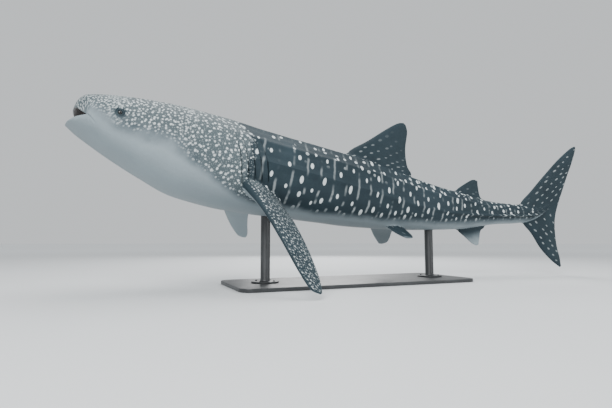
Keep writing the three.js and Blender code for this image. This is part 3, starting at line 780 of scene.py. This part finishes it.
def mouth_fold_relief(station, height):
    """The fold that runs back from the mouth's corner, and a softer one under it."""
    x = (station - MOUTH["corner"][0]) * LENGTH
    fade = between(x, -0.004, 0.012, 0.03, 0.11)
    relief = 0
    for drop, depth, spread in MOUTH_FOLDS:
        line = (height - MOUTH["corner"][1]) * LENGTH + drop * x + 1.6 * x * x
        relief = relief + depth * fade * (0.5 * bell(line - 1.7 * spread, spread) - bell(line, spread))
    return relief


def skin_relief(station, width, height, settings, eye):
    """How far each point of the skin stands out, in metres."""
    angle = np.broadcast_to(AROUND, station.shape)
    outside = np.arange(station.shape[0])[:, None] >= OUTER_ROW
    face = (
        eye_relief(station, width, height, eye.socket_depth)
        + nostril_relief(station, angle, width, height)
        + mouth_fold_relief(station, height)
    )
    return gill_relief(station, angle, settings.gill_depth) + np.where(outside, face, 0)


def swellings(points, settings):
    """Low uneven swellings over the body, from a few seeded waves."""
    rng = np.random.default_rng(settings.seed)
    total = np.zeros(points.shape[:2])
    for _ in range(WAVES):
        wave = rng.normal(size=3) * rng.uniform(3, 13)
        total += np.sin(points @ wave + rng.uniform(0, 6.28)) / WAVES**0.5
    return total * settings.wrinkle


def countershade(station, angle):
    """Distance in metres above the edge of the pale underside; negative below it."""
    edge = np.interp(station, PALE_EDGE[:, 0], PALE_EDGE[:, 1])
    radius = (back(station) - belly(station)) / 2 * LENGTH
    return np.radians(angle - edge) * radius


def column_number(station):
    """Counts the columns of large spots along the body, closer together towards the tail."""
    wide, fall = 0.026, 0.006
    return -np.log(wide - fall * np.clip(station, -0.1, 1.1)) / fall


def body_maps(station, width, height, points):
    """Maps of the skin that its markings follow."""
    angle = np.broadcast_to(AROUND, station.shape)
    side = np.broadcast_to(SIDE, station.shape)
    from_back = (90 - angle) / 180
    step = np.linalg.norm(np.diff(points, axis=1), axis=-1)
    girth = np.concatenate([np.zeros((len(points), 1)), np.cumsum(step, axis=1)], axis=1)
    total = girth[:, -1:]
    girth = np.where(side > 0, girth, girth - total)
    ahead = np.linalg.norm(np.diff(points, axis=0), axis=-1)
    gone = np.concatenate([np.zeros((1, points.shape[1])), np.cumsum(ahead, axis=0)])
    join = OUTER_ROW + SNOUT_ROWS
    index = np.arange(len(points))[:, None] * np.ones_like(station)
    along = np.where(index < join, gone - gone[join], 0)
    along = along + np.maximum(station, HEAD_JOIN) * LENGTH
    row = from_back / SPOT_ROW_PITCH
    shade = countershade(station, angle)
    edge = 0.226 - 0.03 * smoothstep(angle, 30, 80) + 0.012 * smoothstep(angle, 0, -30)
    flecks = (1 - smoothstep(station - edge, -0.01, 0.014)) * smoothstep(shade, -0.05, 0.06)
    # Painted shade: the flecks fade out round the eye, so the plainer, darker skin there stands in for
    # the shadow in the socket.
    flecks = flecks * smoothstep(near(station, width, height, eye_centre()), 0.036, 0.06)
    spots = smoothstep(station - edge, -0.006, 0.006) * smoothstep(shade, -0.02, 0.14)
    inside = (index < MOUTH_ROWS + LIP_ROWS // 2) * 1.0
    lips = bell(index - (OUTER_ROW - 1), 2.6)
    return {
        "metre": np.stack([along, girth], -1),
        "pattern": np.stack([column_number(station), row * side + BACK_ROW], -1),
        "fields": np.stack([flecks, spots * (1 - smoothstep(station, 0.8, 0.86))], -1),
        "shade": np.stack([shade - 0.25 * lips * (angle < 4), inside], -1),
    }


# Fins


def spline(points, t):
    """A smooth curve through the points, evenly from the first (0) to the last (1)."""
    p = np.array(points, float)
    p = np.vstack([2 * p[0] - p[1], p, 2 * p[-1] - p[-2]])
    at = np.clip(t, 0, 1) * (len(points) - 1)
    i = np.minimum(np.floor(at).astype(int), len(points) - 2)
    u = (at - i)[:, None]
    a, b, c, d = p[i], p[i + 1], p[i + 2], p[i + 3]
    return 0.5 * (
        2 * b + (c - a) * u + (2 * a - 5 * b + 4 * c - d) * u**2 + (3 * b - a - 3 * c + d) * u**3
    )


def foil(c):
    """Half thickness of a fin across its chord, rounded in front and thin behind."""
    return 2.6 * np.sqrt(c) * (1 - c) ** 0.9 * (1 - 0.18 * c)


# Upright fins: points of the front and the rear edge (station, height), root to tip, and half
# thicknesses; the flare thickens the root
FIRST_DORSAL = {
    "front": [
        (0.382, 0.03), (0.411, 0.0665), (0.446, 0.0935), (0.482, 0.1235), (0.504, 0.139),
        (0.517, 0.1425),
    ],
    "rear": [
        (0.556, 0.03), (0.549, 0.052), (0.536, 0.068), (0.528, 0.096), (0.5275, 0.126),
        (0.5225, 0.139),
    ],
    "root": 0.0105,
    "tip": 0.0012,
    "flare": 0.006,
}
SECOND_DORSAL = {
    "front": [(0.63, 0.022), (0.646, 0.037), (0.664, 0.05), (0.681, 0.0605), (0.69, 0.0625)],
    "rear": [(0.722, 0.012), (0.716, 0.0235), (0.705, 0.031), (0.6985, 0.05), (0.6965, 0.0605)],
    "root": 0.0055,
    "tip": 0.0009,
    "flare": 0.003,
}
ANAL = {
    "front": [(0.642, -0.022), (0.657, -0.0365), (0.674, -0.047), (0.692, -0.059), (0.703, -0.063)],
    "rear": [(0.724, -0.012), (0.72, -0.026), (0.711, -0.034), (0.709, -0.05), (0.708, -0.061)],
    "root": 0.0048,
    "tip": 0.0008,
    "flare": 0.003,
}
# From the lower lobe's tip to the upper one's
TAIL_FIN = {
    "front": [
        (0.9, -0.104), (0.878, -0.088), (0.853, -0.064), (0.83, -0.034), (0.808, -0.014),
        (0.797, 0.002), (0.8, 0.022), (0.826, 0.047), (0.86, 0.08), (0.9, 0.115),
        (0.935, 0.139), (0.95, 0.1455),
    ],
    "rear": [
        (0.9035, -0.101), (0.901, -0.085), (0.8945, -0.062), (0.891, -0.038), (0.89, -0.014),
        (0.893, 0.006), (0.9, 0.026), (0.911, 0.051), (0.925, 0.081), (0.9395, 0.109),
        (0.9505, 0.134), (0.953, 0.1435),
    ],
    "root": 0.0062,
    "tip": 0.0011,
}
# Paired fins: front edge (station, out, up) from root to tip, and the chord from it to the rear
PECTORAL_CHORD = [
    (0.08, -0.004, -0.026), (0.067, 0.0, -0.02), (0.054, 0.003, -0.015), (0.044, 0.004, -0.0115),
    (0.034, 0.003, -0.0085), (0.021, 0.001, -0.005), (0.009, 0.0, -0.002),
]
LEFT_PECTORAL = {
    "front": [
        (0.215, 0.05, -0.022), (0.228, 0.086, -0.04), (0.246, 0.118, -0.064),
        (0.267, 0.147, -0.095), (0.287, 0.168, -0.124), (0.302, 0.182, -0.143),
        (0.31, 0.188, -0.149),
    ],
    "chord": PECTORAL_CHORD,
    "root": 0.0085,
    "tip": 0.0012,
    "flare": 0.006,
}
RIGHT_PECTORAL = LEFT_PECTORAL | {
    "front": [
        (0.215, 0.05, -0.022), (0.228, 0.09, -0.035), (0.246, 0.126, -0.053),
        (0.267, 0.16, -0.075), (0.287, 0.186, -0.095), (0.302, 0.2, -0.108),
        (0.31, 0.206, -0.113),
    ],
}
LEFT_PELVIC = {
    "front": [
        (0.48, 0.018, -0.038), (0.494, 0.031, -0.049), (0.506, 0.039, -0.056),
        (0.517, 0.044, -0.0605), (0.524, 0.046, -0.0625),
    ],
    "chord": [
        (0.05, -0.006, -0.003), (0.041, -0.002, -0.001), (0.032, 0.0, 0.0), (0.02, 0.001, 0.0),
        (0.005, 0.0, 0.0),
    ],
    "root": 0.0045,
    "tip": 0.0009,
    "flare": 0.003,
}
RIGHT_PELVIC = LEFT_PELVIC | {
    "front": [
        (0.482, 0.02, -0.04), (0.499, 0.037, -0.053), (0.514, 0.05, -0.065),
        (0.528, 0.06, -0.075), (0.536, 0.065, -0.08),
    ],
    "chord": [
        (0.052, -0.006, -0.004), (0.043, -0.002, -0.003), (0.034, 0.0, -0.002),
        (0.022, 0.001, 0.0), (0.006, 0.0, 0.0),
    ],
}
# Points across a fin's face, the thickness it keeps at its edges, its spots' pitch in metres
FIN_POINTS = 20
FIN_EDGE = 0.00035
FIN_SPOTS = (0.15, 0.115)


def flare(fin, t):
    return fin["flare"] * bell(t, 0.2)


def blade(name, front, rear, normal, half, looks):
    """A fin: front and rear edges (rows of station, width, height), thickness and face direction.

    looks gives, for the upper and lower face, the flecks, spots and shade at each point."""
    t = np.linspace(0, 1, len(front))
    chord = (1 - np.cos(np.linspace(0, np.pi, FIN_POINTS))) / 2
    thickness = half[:, None] * foil(chord)[None, :] + FIN_EDGE * (4 * chord * (1 - chord)) ** 0.3
    thickness *= np.clip((1 - t) * 14, 0, 1)[:, None] ** 0.5
    thickness[:, 0] = thickness[:, -1] = 0
    middle = front[:, None] + (rear - front)[:, None] * chord[None, :, None]
    offset = normal[:, None] * thickness[..., None]
    local = np.concatenate([middle + offset, (middle - offset)[:, ::-1][:, 1:]], axis=1)
    points = place(local[..., 0], local[..., 1], local[..., 2])

    shape = points.shape[:2]
    step = np.linalg.norm(np.diff(front, axis=0), axis=1)
    span = np.concatenate([[0], np.cumsum(step)])[:, None] * LENGTH * np.ones(shape)
    there_and_back = np.concatenate([chord, chord[::-1][1:]])[None] * np.ones(shape)
    run = there_and_back * np.linalg.norm(rear - front, axis=1)[:, None] * LENGTH
    face = np.concatenate([np.ones(FIN_POINTS), -np.ones(FIN_POINTS - 1)])[None] * np.ones(shape)
    flecks, spots, shade = looks(t[:, None] * np.ones(shape), there_and_back, face)
    start = FIN_METRES + 7 * len(name)  # sets each fin in a part of the pattern of its own
    column, row = run / FIN_SPOTS[0] + 300, span / FIN_SPOTS[1] + 9 * face
    maps = {
        "metre": np.stack([run + start + 3 * face, span], -1),
        "pattern": np.stack([column, row], -1),
        "fields": np.stack([flecks, spots], -1),
        "shade": np.stack([shade, 0 * shade], -1),
    }
    return sheet(name, points, maps)


def upright_blade(name, fin, looks, along):
    """A fin in the body's middle plane."""
    t = np.linspace(0, 1, along)
    edges = []
    for key in ("front", "rear"):
        line = spline(fin[key], t)
        edges.append(np.stack([line[:, 0], 0 * t, line[:, 1]], -1))
    if "flare" in fin:
        half = fin["root"] + (fin["tip"] - fin["root"]) * np.minimum(1, t * 1.05) ** 0.8
        half = half + flare(fin, t)
    else:
        half = fin["tip"] + (fin["root"] - fin["tip"]) * np.sin(np.pi * t) ** 0.8
    normal = np.broadcast_to(np.array([0.0, 1.0, 0.0]), (along, 3))
    return blade(name, *edges, normal, half, looks)


def paired_blade(name, fin, side, looks, along):
    """A fin on one side of the body: 1 is the left, -1 the right."""
    t = np.linspace(0, 1, along)
    mirror = np.array([1, side, 1])
    edge = spline(fin["front"], t) * mirror
    across = spline(fin["chord"], t) * mirror
    spanward = np.gradient(edge, axis=0)
    normal = np.cross(across, spanward)
    normal /= np.linalg.norm(normal, axis=1)[:, None]
    normal *= np.sign(normal[:, 2:3])
    half = fin["root"] + (fin["tip"] - fin["root"]) * t**0.8 + flare(fin, t)
    return blade(name, edge, edge + across, normal, half, looks)


# What each fin's faces show, from root to tip (t) and from front to rear (c): flecks, spots, shade


def back_fin_looks(t, c, face):
    return 0 * t, 0.32 * (1 - smoothstep(t, 0.1, 0.7)), 0.5 + 0 * t


def tail_fin_looks(t, c, face):
    return 0 * t, 0.34 * smoothstep(c, 0.05, 0.2), 0.5 + 0 * t


def pectoral_looks(t, c, face):
    top = face > 0
    front_root = (1 - smoothstep(t, 0.08, 0.25)) * (1 - smoothstep(c, 0.15, 0.5))
    flecks = (0.5 + 0.5 * front_root) * (1 - smoothstep(t, 0.9, 1.0)) * smoothstep(c, 0.0, 0.08)
    flecks = np.where(top, flecks, 0)
    shade = np.where(top, 0.5, -0.5) + np.where(top, 0, 0.75 * (1 - smoothstep(c, 0.0, 0.1)))
    return flecks, 0 * t, shade


def pelvic_looks(t, c, face):
    shade = np.where(face > 0, 0.3 - 0.32 * smoothstep(t, 0.3, 0.9), -0.4)
    return 0 * t, 0.12 * (face > 0), shade


def anal_looks(t, c, face):
    return 0 * t, 0 * t, 0.1 - 0.2 * smoothstep(t, 0.2, 0.9)


def fin_meshes():
    return [
        upright_blade("first_dorsal", FIRST_DORSAL, back_fin_looks, 52),
        upright_blade("second_dorsal", SECOND_DORSAL, back_fin_looks, 34),
        upright_blade("anal", ANAL, anal_looks, 34),
        upright_blade("tail", TAIL_FIN, tail_fin_looks, 120),
        paired_blade("pectoral_left", LEFT_PECTORAL, 1, pectoral_looks, 72),
        paired_blade("pelvic_left", LEFT_PELVIC, 1, pelvic_looks, 34),
        paired_blade("pectoral_right", RIGHT_PECTORAL, -1, pectoral_looks, 72),
        paired_blade("pelvic_right", RIGHT_PELVIC, -1, pelvic_looks, 34),
    ]


def joined(meshes, name):
    """One mesh of several, which are then removed."""
    bm = bmesh.new()
    for mesh in meshes:
        bm.from_mesh(mesh)
        bpy.data.meshes.remove(mesh)
    return as_mesh(bm, name)


# Smoothing where the fins join the body: rings of points round the join, and times
JOIN_SMOOTHING = ((5, 3), (3, 6), (2, 6))


def fused(body, fins, name):
    """The body with the fins joined on, the joins drawn into soft fillets."""
    holders = []
    for index, mesh in enumerate((body, fins)):
        for slot in range(2):
            mesh.materials.append(bpy.data.materials.new(f"join {slot}"))
        mesh.polygons.foreach_set("material_index", [index] * len(mesh.polygons))
        holders.append(linked(f"{name} {index}", mesh))
    union = holders[0].modifiers.new("Fins", "BOOLEAN")
    union.operation = "UNION"
    union.object = holders[1]
    union.solver = "MANIFOLD"
    union.material_mode = "INDEX"
    bpy.context.view_layer.update()
    graph = bpy.context.evaluated_depsgraph_get()
    mesh = bpy.data.meshes.new_from_object(holders[0].evaluated_get(graph))
    mesh.name = name
    for holder in holders:
        old = holder.data
        bpy.data.objects.remove(holder)
        bpy.data.meshes.remove(old)
    bm = bmesh.new()
    bm.from_mesh(mesh)
    bmesh.ops.remove_doubles(bm, verts=bm.verts, dist=5e-5)
    joins = {
        vert
        for edge in bm.edges
        if len({face.material_index for face in edge.link_faces}) > 1
        for vert in edge.verts
    }
    reach = set(joins)
    zones = []
    for _ in range(JOIN_SMOOTHING[0][0]):
        reach |= {edge.other_vert(vert) for vert in reach for edge in vert.link_edges}
        zones.append(set(reach))
    for rings, times in JOIN_SMOOTHING:
        for _ in range(times):
            bmesh.ops.smooth_vert(
                bm, verts=list(zones[rings - 1]), factor=0.5,
                use_axis_x=True, use_axis_y=True, use_axis_z=True,
            )
    for face in bm.faces:
        face.material_index = 0
    bmesh.ops.recalc_face_normals(bm, faces=bm.faces)
    bm.to_mesh(mesh)
    bm.free()
    return mesh


# Finishes


# Flecks: cells to the metre, where they start and end along the body, size, its spread, strength.
# They are crowded on the snout and wider apart towards the gills, finer again on the fins, with
# fainter ones between them.
FLECKS = (
    (42.0, -1.0, 0.34, 0.25, 0.10, 0.8),
    (28.0, 0.26, 0.98, 0.20, 0.10, 0.95),
    (21.0, 0.90, 15.0, 0.17, 0.10, 1.0),
    (27.0, 15.0, 900.0, 0.11, 0.10, 0.95),
    (46.0, 0.2, 900.0, 0.10, 0.14, 0.32),
)


def fleck_marks(warped, along, finish):
    fleck = None
    for scale, first, last, size, vary, strength in FLECKS:
        distance, chance = finish.cells(warped, scale, 0.9)
        here = along.step(first - 0.09, first + 0.09) * along.step(last + 0.09, last - 0.09)
        spot = (chance * vary + size - distance).step(-0.075, 0.06) * here * (chance * 0.3 + 0.75)
        spot = spot * strength
        fleck = spot if fleck is None else fleck.most(spot)
    return fleck


def spot_marks(warped, column, row, finish):
    """Spots and thin bars of the back, the flanks and the fins."""
    # Large spots in columns, every other column half a row lower, each a little off its place
    number = column.floor()
    staggered = row + (number * 0.5).fraction()
    reach = (row - BACK_ROW).size()
    across, level, size = finish.chances(finish.point(number, staggered.floor()))
    low = reach.step(3.2, 5.4)
    tall = ((column - SHOULDER_COLUMN) * 0.0088 + 0.125).most(0.125) + low * 0.07
    aside = (column.fraction() - 0.5 - (across - 0.5) * 0.45) / 0.108
    upward = (staggered.fraction() - 0.5 - (level - 0.5) * 0.3) / tall
    away = (aside * aside + upward * upward).math("SQRT")
    large = (away / (size * 0.5 + 0.68)).step(1.18, 0.86) * size.step(0.05, 0.09)

    # Small round spots over the back, between the large ones
    distance, chance = finish.cells(warped, 7.5, 0.8)
    small = (chance * 0.06 + 0.10 - distance).step(-0.03, 0.02) * chance.step(0.28, 0.36)
    small = small * reach.step(2.9, 1.9) * away.step(1.5, 2.0) * 0.8

    # Thin pale bars between the columns, broken, on the flanks only
    wave = finish.noise(finish.point(column * 0.4, row), 1.7, 2.0)
    moved = column + (wave - 0.5) * 0.22 + 0.5
    broken = finish.noise(finish.point(moved.floor() * 3.7, row), 1.5, 1.0)
    flank = reach.step(0.8, 2.2) * reach.step(9.5, 9.0)
    bar = (moved.fraction() - 0.5).size().step(0.12, 0.02) * broken.step(0.42, 0.6)
    bar = bar * flank * (low * 0.25 + 0.25)
    return large.most(bar).most(small)


def skin_finish(settings):
    """Slate back with pale spots, greyer flecked head, pale underside darkened with painted shade, and
    the mouth's lining.
    """
    finish = Finish("whale shark skin")
    along, girth = finish.uv("metre")
    column, row = finish.uv("pattern")
    flecks, spots = finish.uv("fields")
    shade, inside = finish.uv("shade")
    where = finish.node("ShaderNodeTexCoord").outputs["Object"]

    # The two skins, mottled, and the uneven edge between them
    mottle = finish.noise(where, 3.1, 5.0, 0.6)
    clouds = finish.noise(where, 0.9, 3.0, 0.5)
    grain = finish.noise(where, 42.0, 4.0, 0.65)
    light = (clouds - 0.5) * 0.5 + (mottle - 0.5) * 0.5 + (grain - 0.5) * 0.25
    upper = finish.clouded(light * 1.6 + 0.45, settings.back_colour, 0.62, 1.55)
    # Painted shade: the underside's colour is greyer than the pale skin's own colour.
    lower = finish.clouded(light * 1.4 + 0.5, settings.shaded_belly_colour, 0.80, 1.12)
    ragged = shade + (mottle - 0.5) * 0.16 + (clouds - 0.5) * 0.14
    above = ragged.step(-0.085, 0.075)
    greyed = finish.blend(flecks.step(0.5, 1.0) * 0.5, upper, settings.head_colour)
    base = finish.blend(above, lower, greyed)

    # The marks, set a little off their grid and worn
    wander = finish.noise(finish.point(along, girth), 3.0, 2.0)
    ruffle = finish.noise(where, 24.0, 3.0, 0.6)
    warped = finish.point(
        along + (wander - 0.5) * 0.05 + (ruffle - 0.5) * 0.012,
        girth + (mottle - 0.5) * 0.05 - (ruffle - 0.5) * 0.012,
    )
    fleck = fleck_marks(warped, along, finish) * flecks.step(0.05, 0.5)
    mark = (spot_marks(warped, column, row, finish) * spots).most(fleck * 0.85)
    worn = finish.noise(where, 26.0, 3.0, 0.6)
    mark = mark * (worn * 0.35 + 0.72) * above.most(0.2)
    marked = finish.blend(mark, base, settings.spot_colour)
    finish.set(Base_Color=finish.blend(inside, marked, settings.mouth_colour))

    finish.set(Roughness=grain * 0.16 + mottle * 0.12 + 0.38 - mark * 0.04)
    finish.set(IOR=1.38, Specular_IOR_Level=0.18)
    fine_grain = finish.noise(where, 190.0, 3.0, 0.6)
    crease = finish.noise(finish.point(along * 0.35, girth), 26.0, 4.0, 0.6, 0.4)
    finish.bump(fine_grain * 0.4 + grain * 0.6 + crease * 0.6 + mark * 0.25, 0.005, 0.55)
    return finish.material


def eye_finish(eye):
    """Dark iris round a black pupil, seen through a wet clear coat."""
    finish = Finish("wet dark eye")
    away, _ = finish.uv("eye")
    where = finish.node("ShaderNodeTexCoord").outputs["Object"]
    fibres = finish.noise(where, 420.0, 3.0, 0.6)
    ring = away.step(0.34, 0.42) * away.step(0.86, 0.72)
    streaked = finish.clouded(fibres, eye.iris_colour, 0.5, 2.6)
    colour = finish.blend(ring, (0.003, 0.003, 0.004), streaked)
    finish.set(Base_Color=colour, Roughness=0.12, Coat_Weight=0.6, Coat_Roughness=0.02, IOR=1.36)
    return finish.material


def paint_finish(stand):
    """Satin powder paint, with a fine orange-peel surface and a little dust on top."""
    finish = Finish("stand paint")
    where = finish.node("ShaderNodeTexCoord").outputs["Object"]
    peel = finish.noise(where, 240.0, 2.0, 0.5)
    dust = finish.noise(where, 5.0, 5.0, 0.65)
    paint = tuple(stand.paint_colour)
    dusty = tuple(c * 2.1 + 0.01 for c in paint)
    colour = finish.blend(dust.step(0.35, 0.8) * 0.5, paint, dusty)
    finish.set(Base_Color=colour, Roughness=dust * 0.22 + 0.32, Metallic=0.0, IOR=1.5)
    finish.bump(peel, 0.0006, 0.4)
    return finish.material


def floor_finish(studio):
    """A pale matt floor that gets paler with distance, as a studio's does."""
    finish = Finish("pale floor")
    where = finish.node("ShaderNodeTexCoord").outputs["Object"]
    cloud = finish.noise(where, 0.5, 3.0)
    near_by = finish.clouded(cloud, studio.floor_colour, 0.97, 1.03)
    parts = finish.node("ShaderNodeSeparateXYZ", {}, {0: where})
    x, y = Number(finish, parts.outputs[0]), Number(finish, parts.outputs[1])
    distance = (x * x + y * y).math("SQRT")
    colour = finish.blend(distance.step(4.0, 22.0), near_by, (0.93, 0.95, 0.96))
    finish.set(Base_Color=colour, Roughness=0.75)
    return finish.material


# Pieces


FLESH = (
    "head", "lower_jaw", "gill_region", "trunk", "tail", "tail_stalk", "tail_fin",
    "dorsal_fin_first", "dorsal_fin_second", "anal_fin", "pectoral_fin_left",
    "pectoral_fin_right", "pelvic_fin_left", "pelvic_fin_right",
)


class WHALESHARK_OT_skin(bpy.types.Operator):
    """Grow the one skin over head, body and fins, with its gills, folds and markings"""

    bl_idname = "whale_shark.skin"
    bl_label = "Skin"

    def execute(self, context):
        settings = context.scene.whale_shark
        station, width, height = body_rows()
        side = np.broadcast_to(SIDE, station.shape)
        points = place(station, side * width, height)
        relief = skin_relief(station, width, height, settings, context.scene.whale_shark_eye)
        relief = relief + swellings(points, settings)
        relief[:1] = relief[-1:] = 0
        shaped = points + normals(points) * relief[..., None]
        shaped[:, -1] = shaped[:, 0]
        body = sheet("body", shaped, body_maps(station, width, height, points))
        mesh = fused(body, joined(fin_meshes(), "fins"), "skin")
        skin = show("skin", mesh, skin_finish(settings))
        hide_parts(*FLESH)
        return {"FINISHED"}


def eyeball_mesh(name, centre, outward):
    """A ball with the cornea's low swelling, its map the distance from the pupil's middle."""
    radius = EYE["radius"] * LENGTH
    bm = bmesh.new()
    bmesh.ops.create_uvsphere(bm, u_segments=40, v_segments=28, radius=radius)
    for vert in bm.verts:
        swell = max(0.0, vert.co.z / radius - 0.7) / 0.3
        vert.co *= 1 + 0.05 * swell * (2 - swell)
    layer = bm.loops.layers.uv.new("eye")
    for face in bm.faces:
        for loop in face.loops:
            flat = Vector((loop.vert.co.x, loop.vert.co.y)).length / radius
            loop[layer].uv = (flat if loop.vert.co.z > 0 else 1.0, 0.0)
    turn = outward.to_track_quat("Z", "Y").to_matrix().to_4x4()
    bmesh.ops.transform(bm, matrix=Matrix.Translation(centre) @ turn, verts=bm.verts)
    return as_mesh(bm, name)


class WHALESHARK_OT_eyes(bpy.types.Operator):
    """Set the two eyeballs in their sockets"""

    bl_idname = "whale_shark.eyes"
    bl_label = "Eyes"

    def execute(self, context):
        material = eye_finish(context.scene.whale_shark_eye)
        station, width, height, _ = eye_centre()
        for side, name in ((1, "left"), (-1, "right")):
            low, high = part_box(f"eye_{name}")
            outer = place(station, side * (width + 0.01), height)
            outward = Vector(outer - place(station, side * width, height)).normalized()
            mesh = eyeball_mesh(f"eyeball_{name}", (low + high) / 2, outward)
            eyeball = show(f"eyeball_{name}", mesh, material)
            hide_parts(f"eye_{name}")
        return {"FINISHED"}


# The rods in metres, as in the solids; a weld's hollow is two steps of the outline
ROD_RADIUS = 0.052
FLANGE = {"radius": 0.15, "thickness": 0.018, "bevel": 0.003}
WELD = ((0.016, 0.0), (0.007, 0.0025), (0.0025, 0.008), (0.0, 0.016))
BOLT = {"count": 4, "circle": 0.108, "radius": 0.0125, "height": 0.011, "bevel": 0.0012}


def rod_mesh(name, low, high, sides):
    """A rod turned in one piece with its flange and weld, and four bolts through the flange."""
    bevel = FLANGE["bevel"]
    top = low.z + FLANGE["thickness"]
    profile = [
        (0, low.z),
        (FLANGE["radius"] - bevel, low.z),
        (FLANGE["radius"], low.z + bevel),
        (FLANGE["radius"], top - bevel),
        (FLANGE["radius"] - bevel, top),
        *((ROD_RADIUS + out, top + up) for out, up in WELD),
        (ROD_RADIUS, high.z - 0.001),
        (0, high.z - 0.001),
    ]
    bm = bmesh.new()
    verts = [bm.verts.new((x, 0, z)) for x, z in profile]
    edges = [bm.edges.new(pair) for pair in zip(verts, verts[1:])]
    bmesh.ops.spin(
        bm, geom=verts + edges, cent=(0, 0, 0), axis=(0, 0, 1),
        angle=math.tau, steps=sides, use_merge=True,
    )
    bmesh.ops.remove_doubles(bm, verts=bm.verts, dist=1e-5)
    bmesh.ops.recalc_face_normals(bm, faces=bm.faces)
    for index in range(BOLT["count"]):
        turn = Matrix.Rotation(math.radians(45 + 360 / BOLT["count"] * index), 4, "Z")
        spot = Matrix.Translation((BOLT["circle"], 0, top + BOLT["height"] / 2))
        made = bmesh.ops.create_cone(
            bm, cap_ends=True, segments=6, radius1=BOLT["radius"], radius2=BOLT["radius"],
            depth=BOLT["height"], matrix=turn @ spot,
        )
        rims = {edge for vert in made["verts"] for edge in vert.link_edges}
        bmesh.ops.bevel(
            bm, geom=list(rims), offset=BOLT["bevel"], segments=2, profile=0.5,
            affect="EDGES", material=-1,
        )
    centre = (low + high) / 2
    bmesh.ops.translate(bm, vec=(centre.x, centre.y, 0), verts=bm.verts)
    return as_mesh(bm, name)


class WHALESHARK_OT_stand(bpy.types.Operator):
    """Paint the base plate and turn the two rods with their flanges and bolts"""

    bl_idname = "whale_shark.stand"
    bl_label = "Stand"

    def execute(self, context):
        stand = context.scene.whale_shark_stand
        paint = paint_finish(stand)
        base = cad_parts["stand_base"]
        base.data.materials.clear()
        base.data.materials.append(paint)
        for name in ("front", "rear"):
            mesh = rod_mesh(f"rod_{name}", *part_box(f"stand_rod_{name}"), stand.rod_sides)
            rod = show(f"rod_{name}", mesh, paint)
            sharp = rod.modifiers.new("Edges", "EDGE_SPLIT")
            sharp.split_angle = math.radians(35)
            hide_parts(f"stand_rod_{name}")
        return {"FINISHED"}


FLOOR_RADIUS = 70
AIR = {"colour": (0.84, 0.87, 0.89, 1), "strength": 0.85}


def studio_floor(studio):
    bm = bmesh.new()
    bmesh.ops.create_circle(bm, cap_ends=True, segments=96, radius=FLOOR_RADIUS)
    floor = linked("floor", as_mesh(bm, "floor"))
    floor.data.materials.append(floor_finish(studio))


# Lights: name, place, aim, size in metres, share of the key light's power
LIGHTS = (
    ("key", (-5.5, -6.5, 6.0), (0, 0, 1.2), 5.0, 1.0),
    ("top", (0.5, 0.5, 7.5), (0, 0, 1), 8.0, 0.58),
    ("fill", (5.5, -6.5, 3.0), (0.5, 0, 1), 3.6, 0.22),
    ("rim", (3.0, 7.0, 4.5), (0, 0, 1.2), 5.0, 0.5),
    ("low", (-4.2, -7.2, 2.2), (-0.8, 0, 1.2), 2.4, 0.07),
)


class WHALESHARK_OT_studio(bpy.types.Operator):
    """Lay the pale floor, hang the soft lights and set the camera where the photo was taken"""

    bl_idname = "whale_shark.studio"
    bl_label = "Studio"

    def execute(self, context):
        studio = context.scene.whale_shark_studio
        studio_floor(studio)
        for name, spot, aim, size, share in LIGHTS:
            lamp = bpy.data.lights.new(name, "AREA")
            lamp.shape = "DISK"
            lamp.size = size
            lamp.energy = studio.key_power * share
            light = linked(name, lamp)
            light.location = spot
            light.rotation_euler = (Vector(aim) - Vector(spot)).to_track_quat("-Z", "Y").to_euler()

        world = bpy.data.worlds.new("studio air")
        world.use_nodes = True
        air = world.node_tree.nodes["Background"]
        air.inputs[0].default_value = AIR["colour"]
        air.inputs[1].default_value = AIR["strength"]
        context.scene.world = world

        lens = bpy.data.cameras.new("camera")
        lens.lens = lens.sensor_width * FOCAL_PIXELS / PHOTO_WIDTH
        lens.clip_end = 200
        camera = linked("camera", lens)
        camera.location = studio.camera_place
        turned, tilt = studio.camera_azimuth, studio.camera_tilt
        look = Vector((
            math.sin(turned) * math.cos(tilt), math.cos(turned) * math.cos(tilt), math.sin(tilt)
        ))
        camera.rotation_euler = look.to_track_quat("-Z", "Y").to_euler()
        context.scene.camera = camera
        return {"FINISHED"}


class WHALESHARK_PT_panel(bpy.types.Panel):
    """Settings and pieces of the whale shark"""

    bl_label = "Whale Shark"
    bl_idname = "WHALESHARK_PT_panel"
    bl_space_type = "VIEW_3D"
    bl_region_type = "UI"
    bl_category = "Whale Shark"

    def draw(self, context):
        for group in GROUPS:
            settings = getattr(context.scene, group)
            box = self.layout.box()
            for key in settings.bl_rna.properties.keys():
                if key not in {"rna_type", "name"}:
                    box.prop(settings, key)
        for operator in PIECES:
            self.layout.operator(operator.bl_idname)


GROUPS = {
    "whale_shark": WhaleSharkSettings,
    "whale_shark_eye": WhaleSharkEyeSettings,
    "whale_shark_stand": WhaleSharkStandSettings,
    "whale_shark_studio": WhaleSharkStudioSettings,
}
PIECES = (
    WHALESHARK_OT_skin,
    WHALESHARK_OT_eyes,
    WHALESHARK_OT_stand,
    WHALESHARK_OT_studio,
)


def register():
    for group in (*GROUPS.values(), *PIECES, WHALESHARK_PT_panel):
        bpy.utils.register_class(group)
    for name, group in GROUPS.items():
        setattr(bpy.types.Scene, name, PointerProperty(type=group))


def unregister():
    for name in GROUPS:
        delattr(bpy.types.Scene, name)
    for group in reversed((*GROUPS.values(), *PIECES, WHALESHARK_PT_panel)):
        bpy.utils.unregister_class(group)


def main():
    register()
    bpy.ops.whale_shark.skin()
    bpy.ops.whale_shark.eyes()
    bpy.ops.whale_shark.stand()
    bpy.ops.whale_shark.studio()


if __name__ == "__main__":
    main()
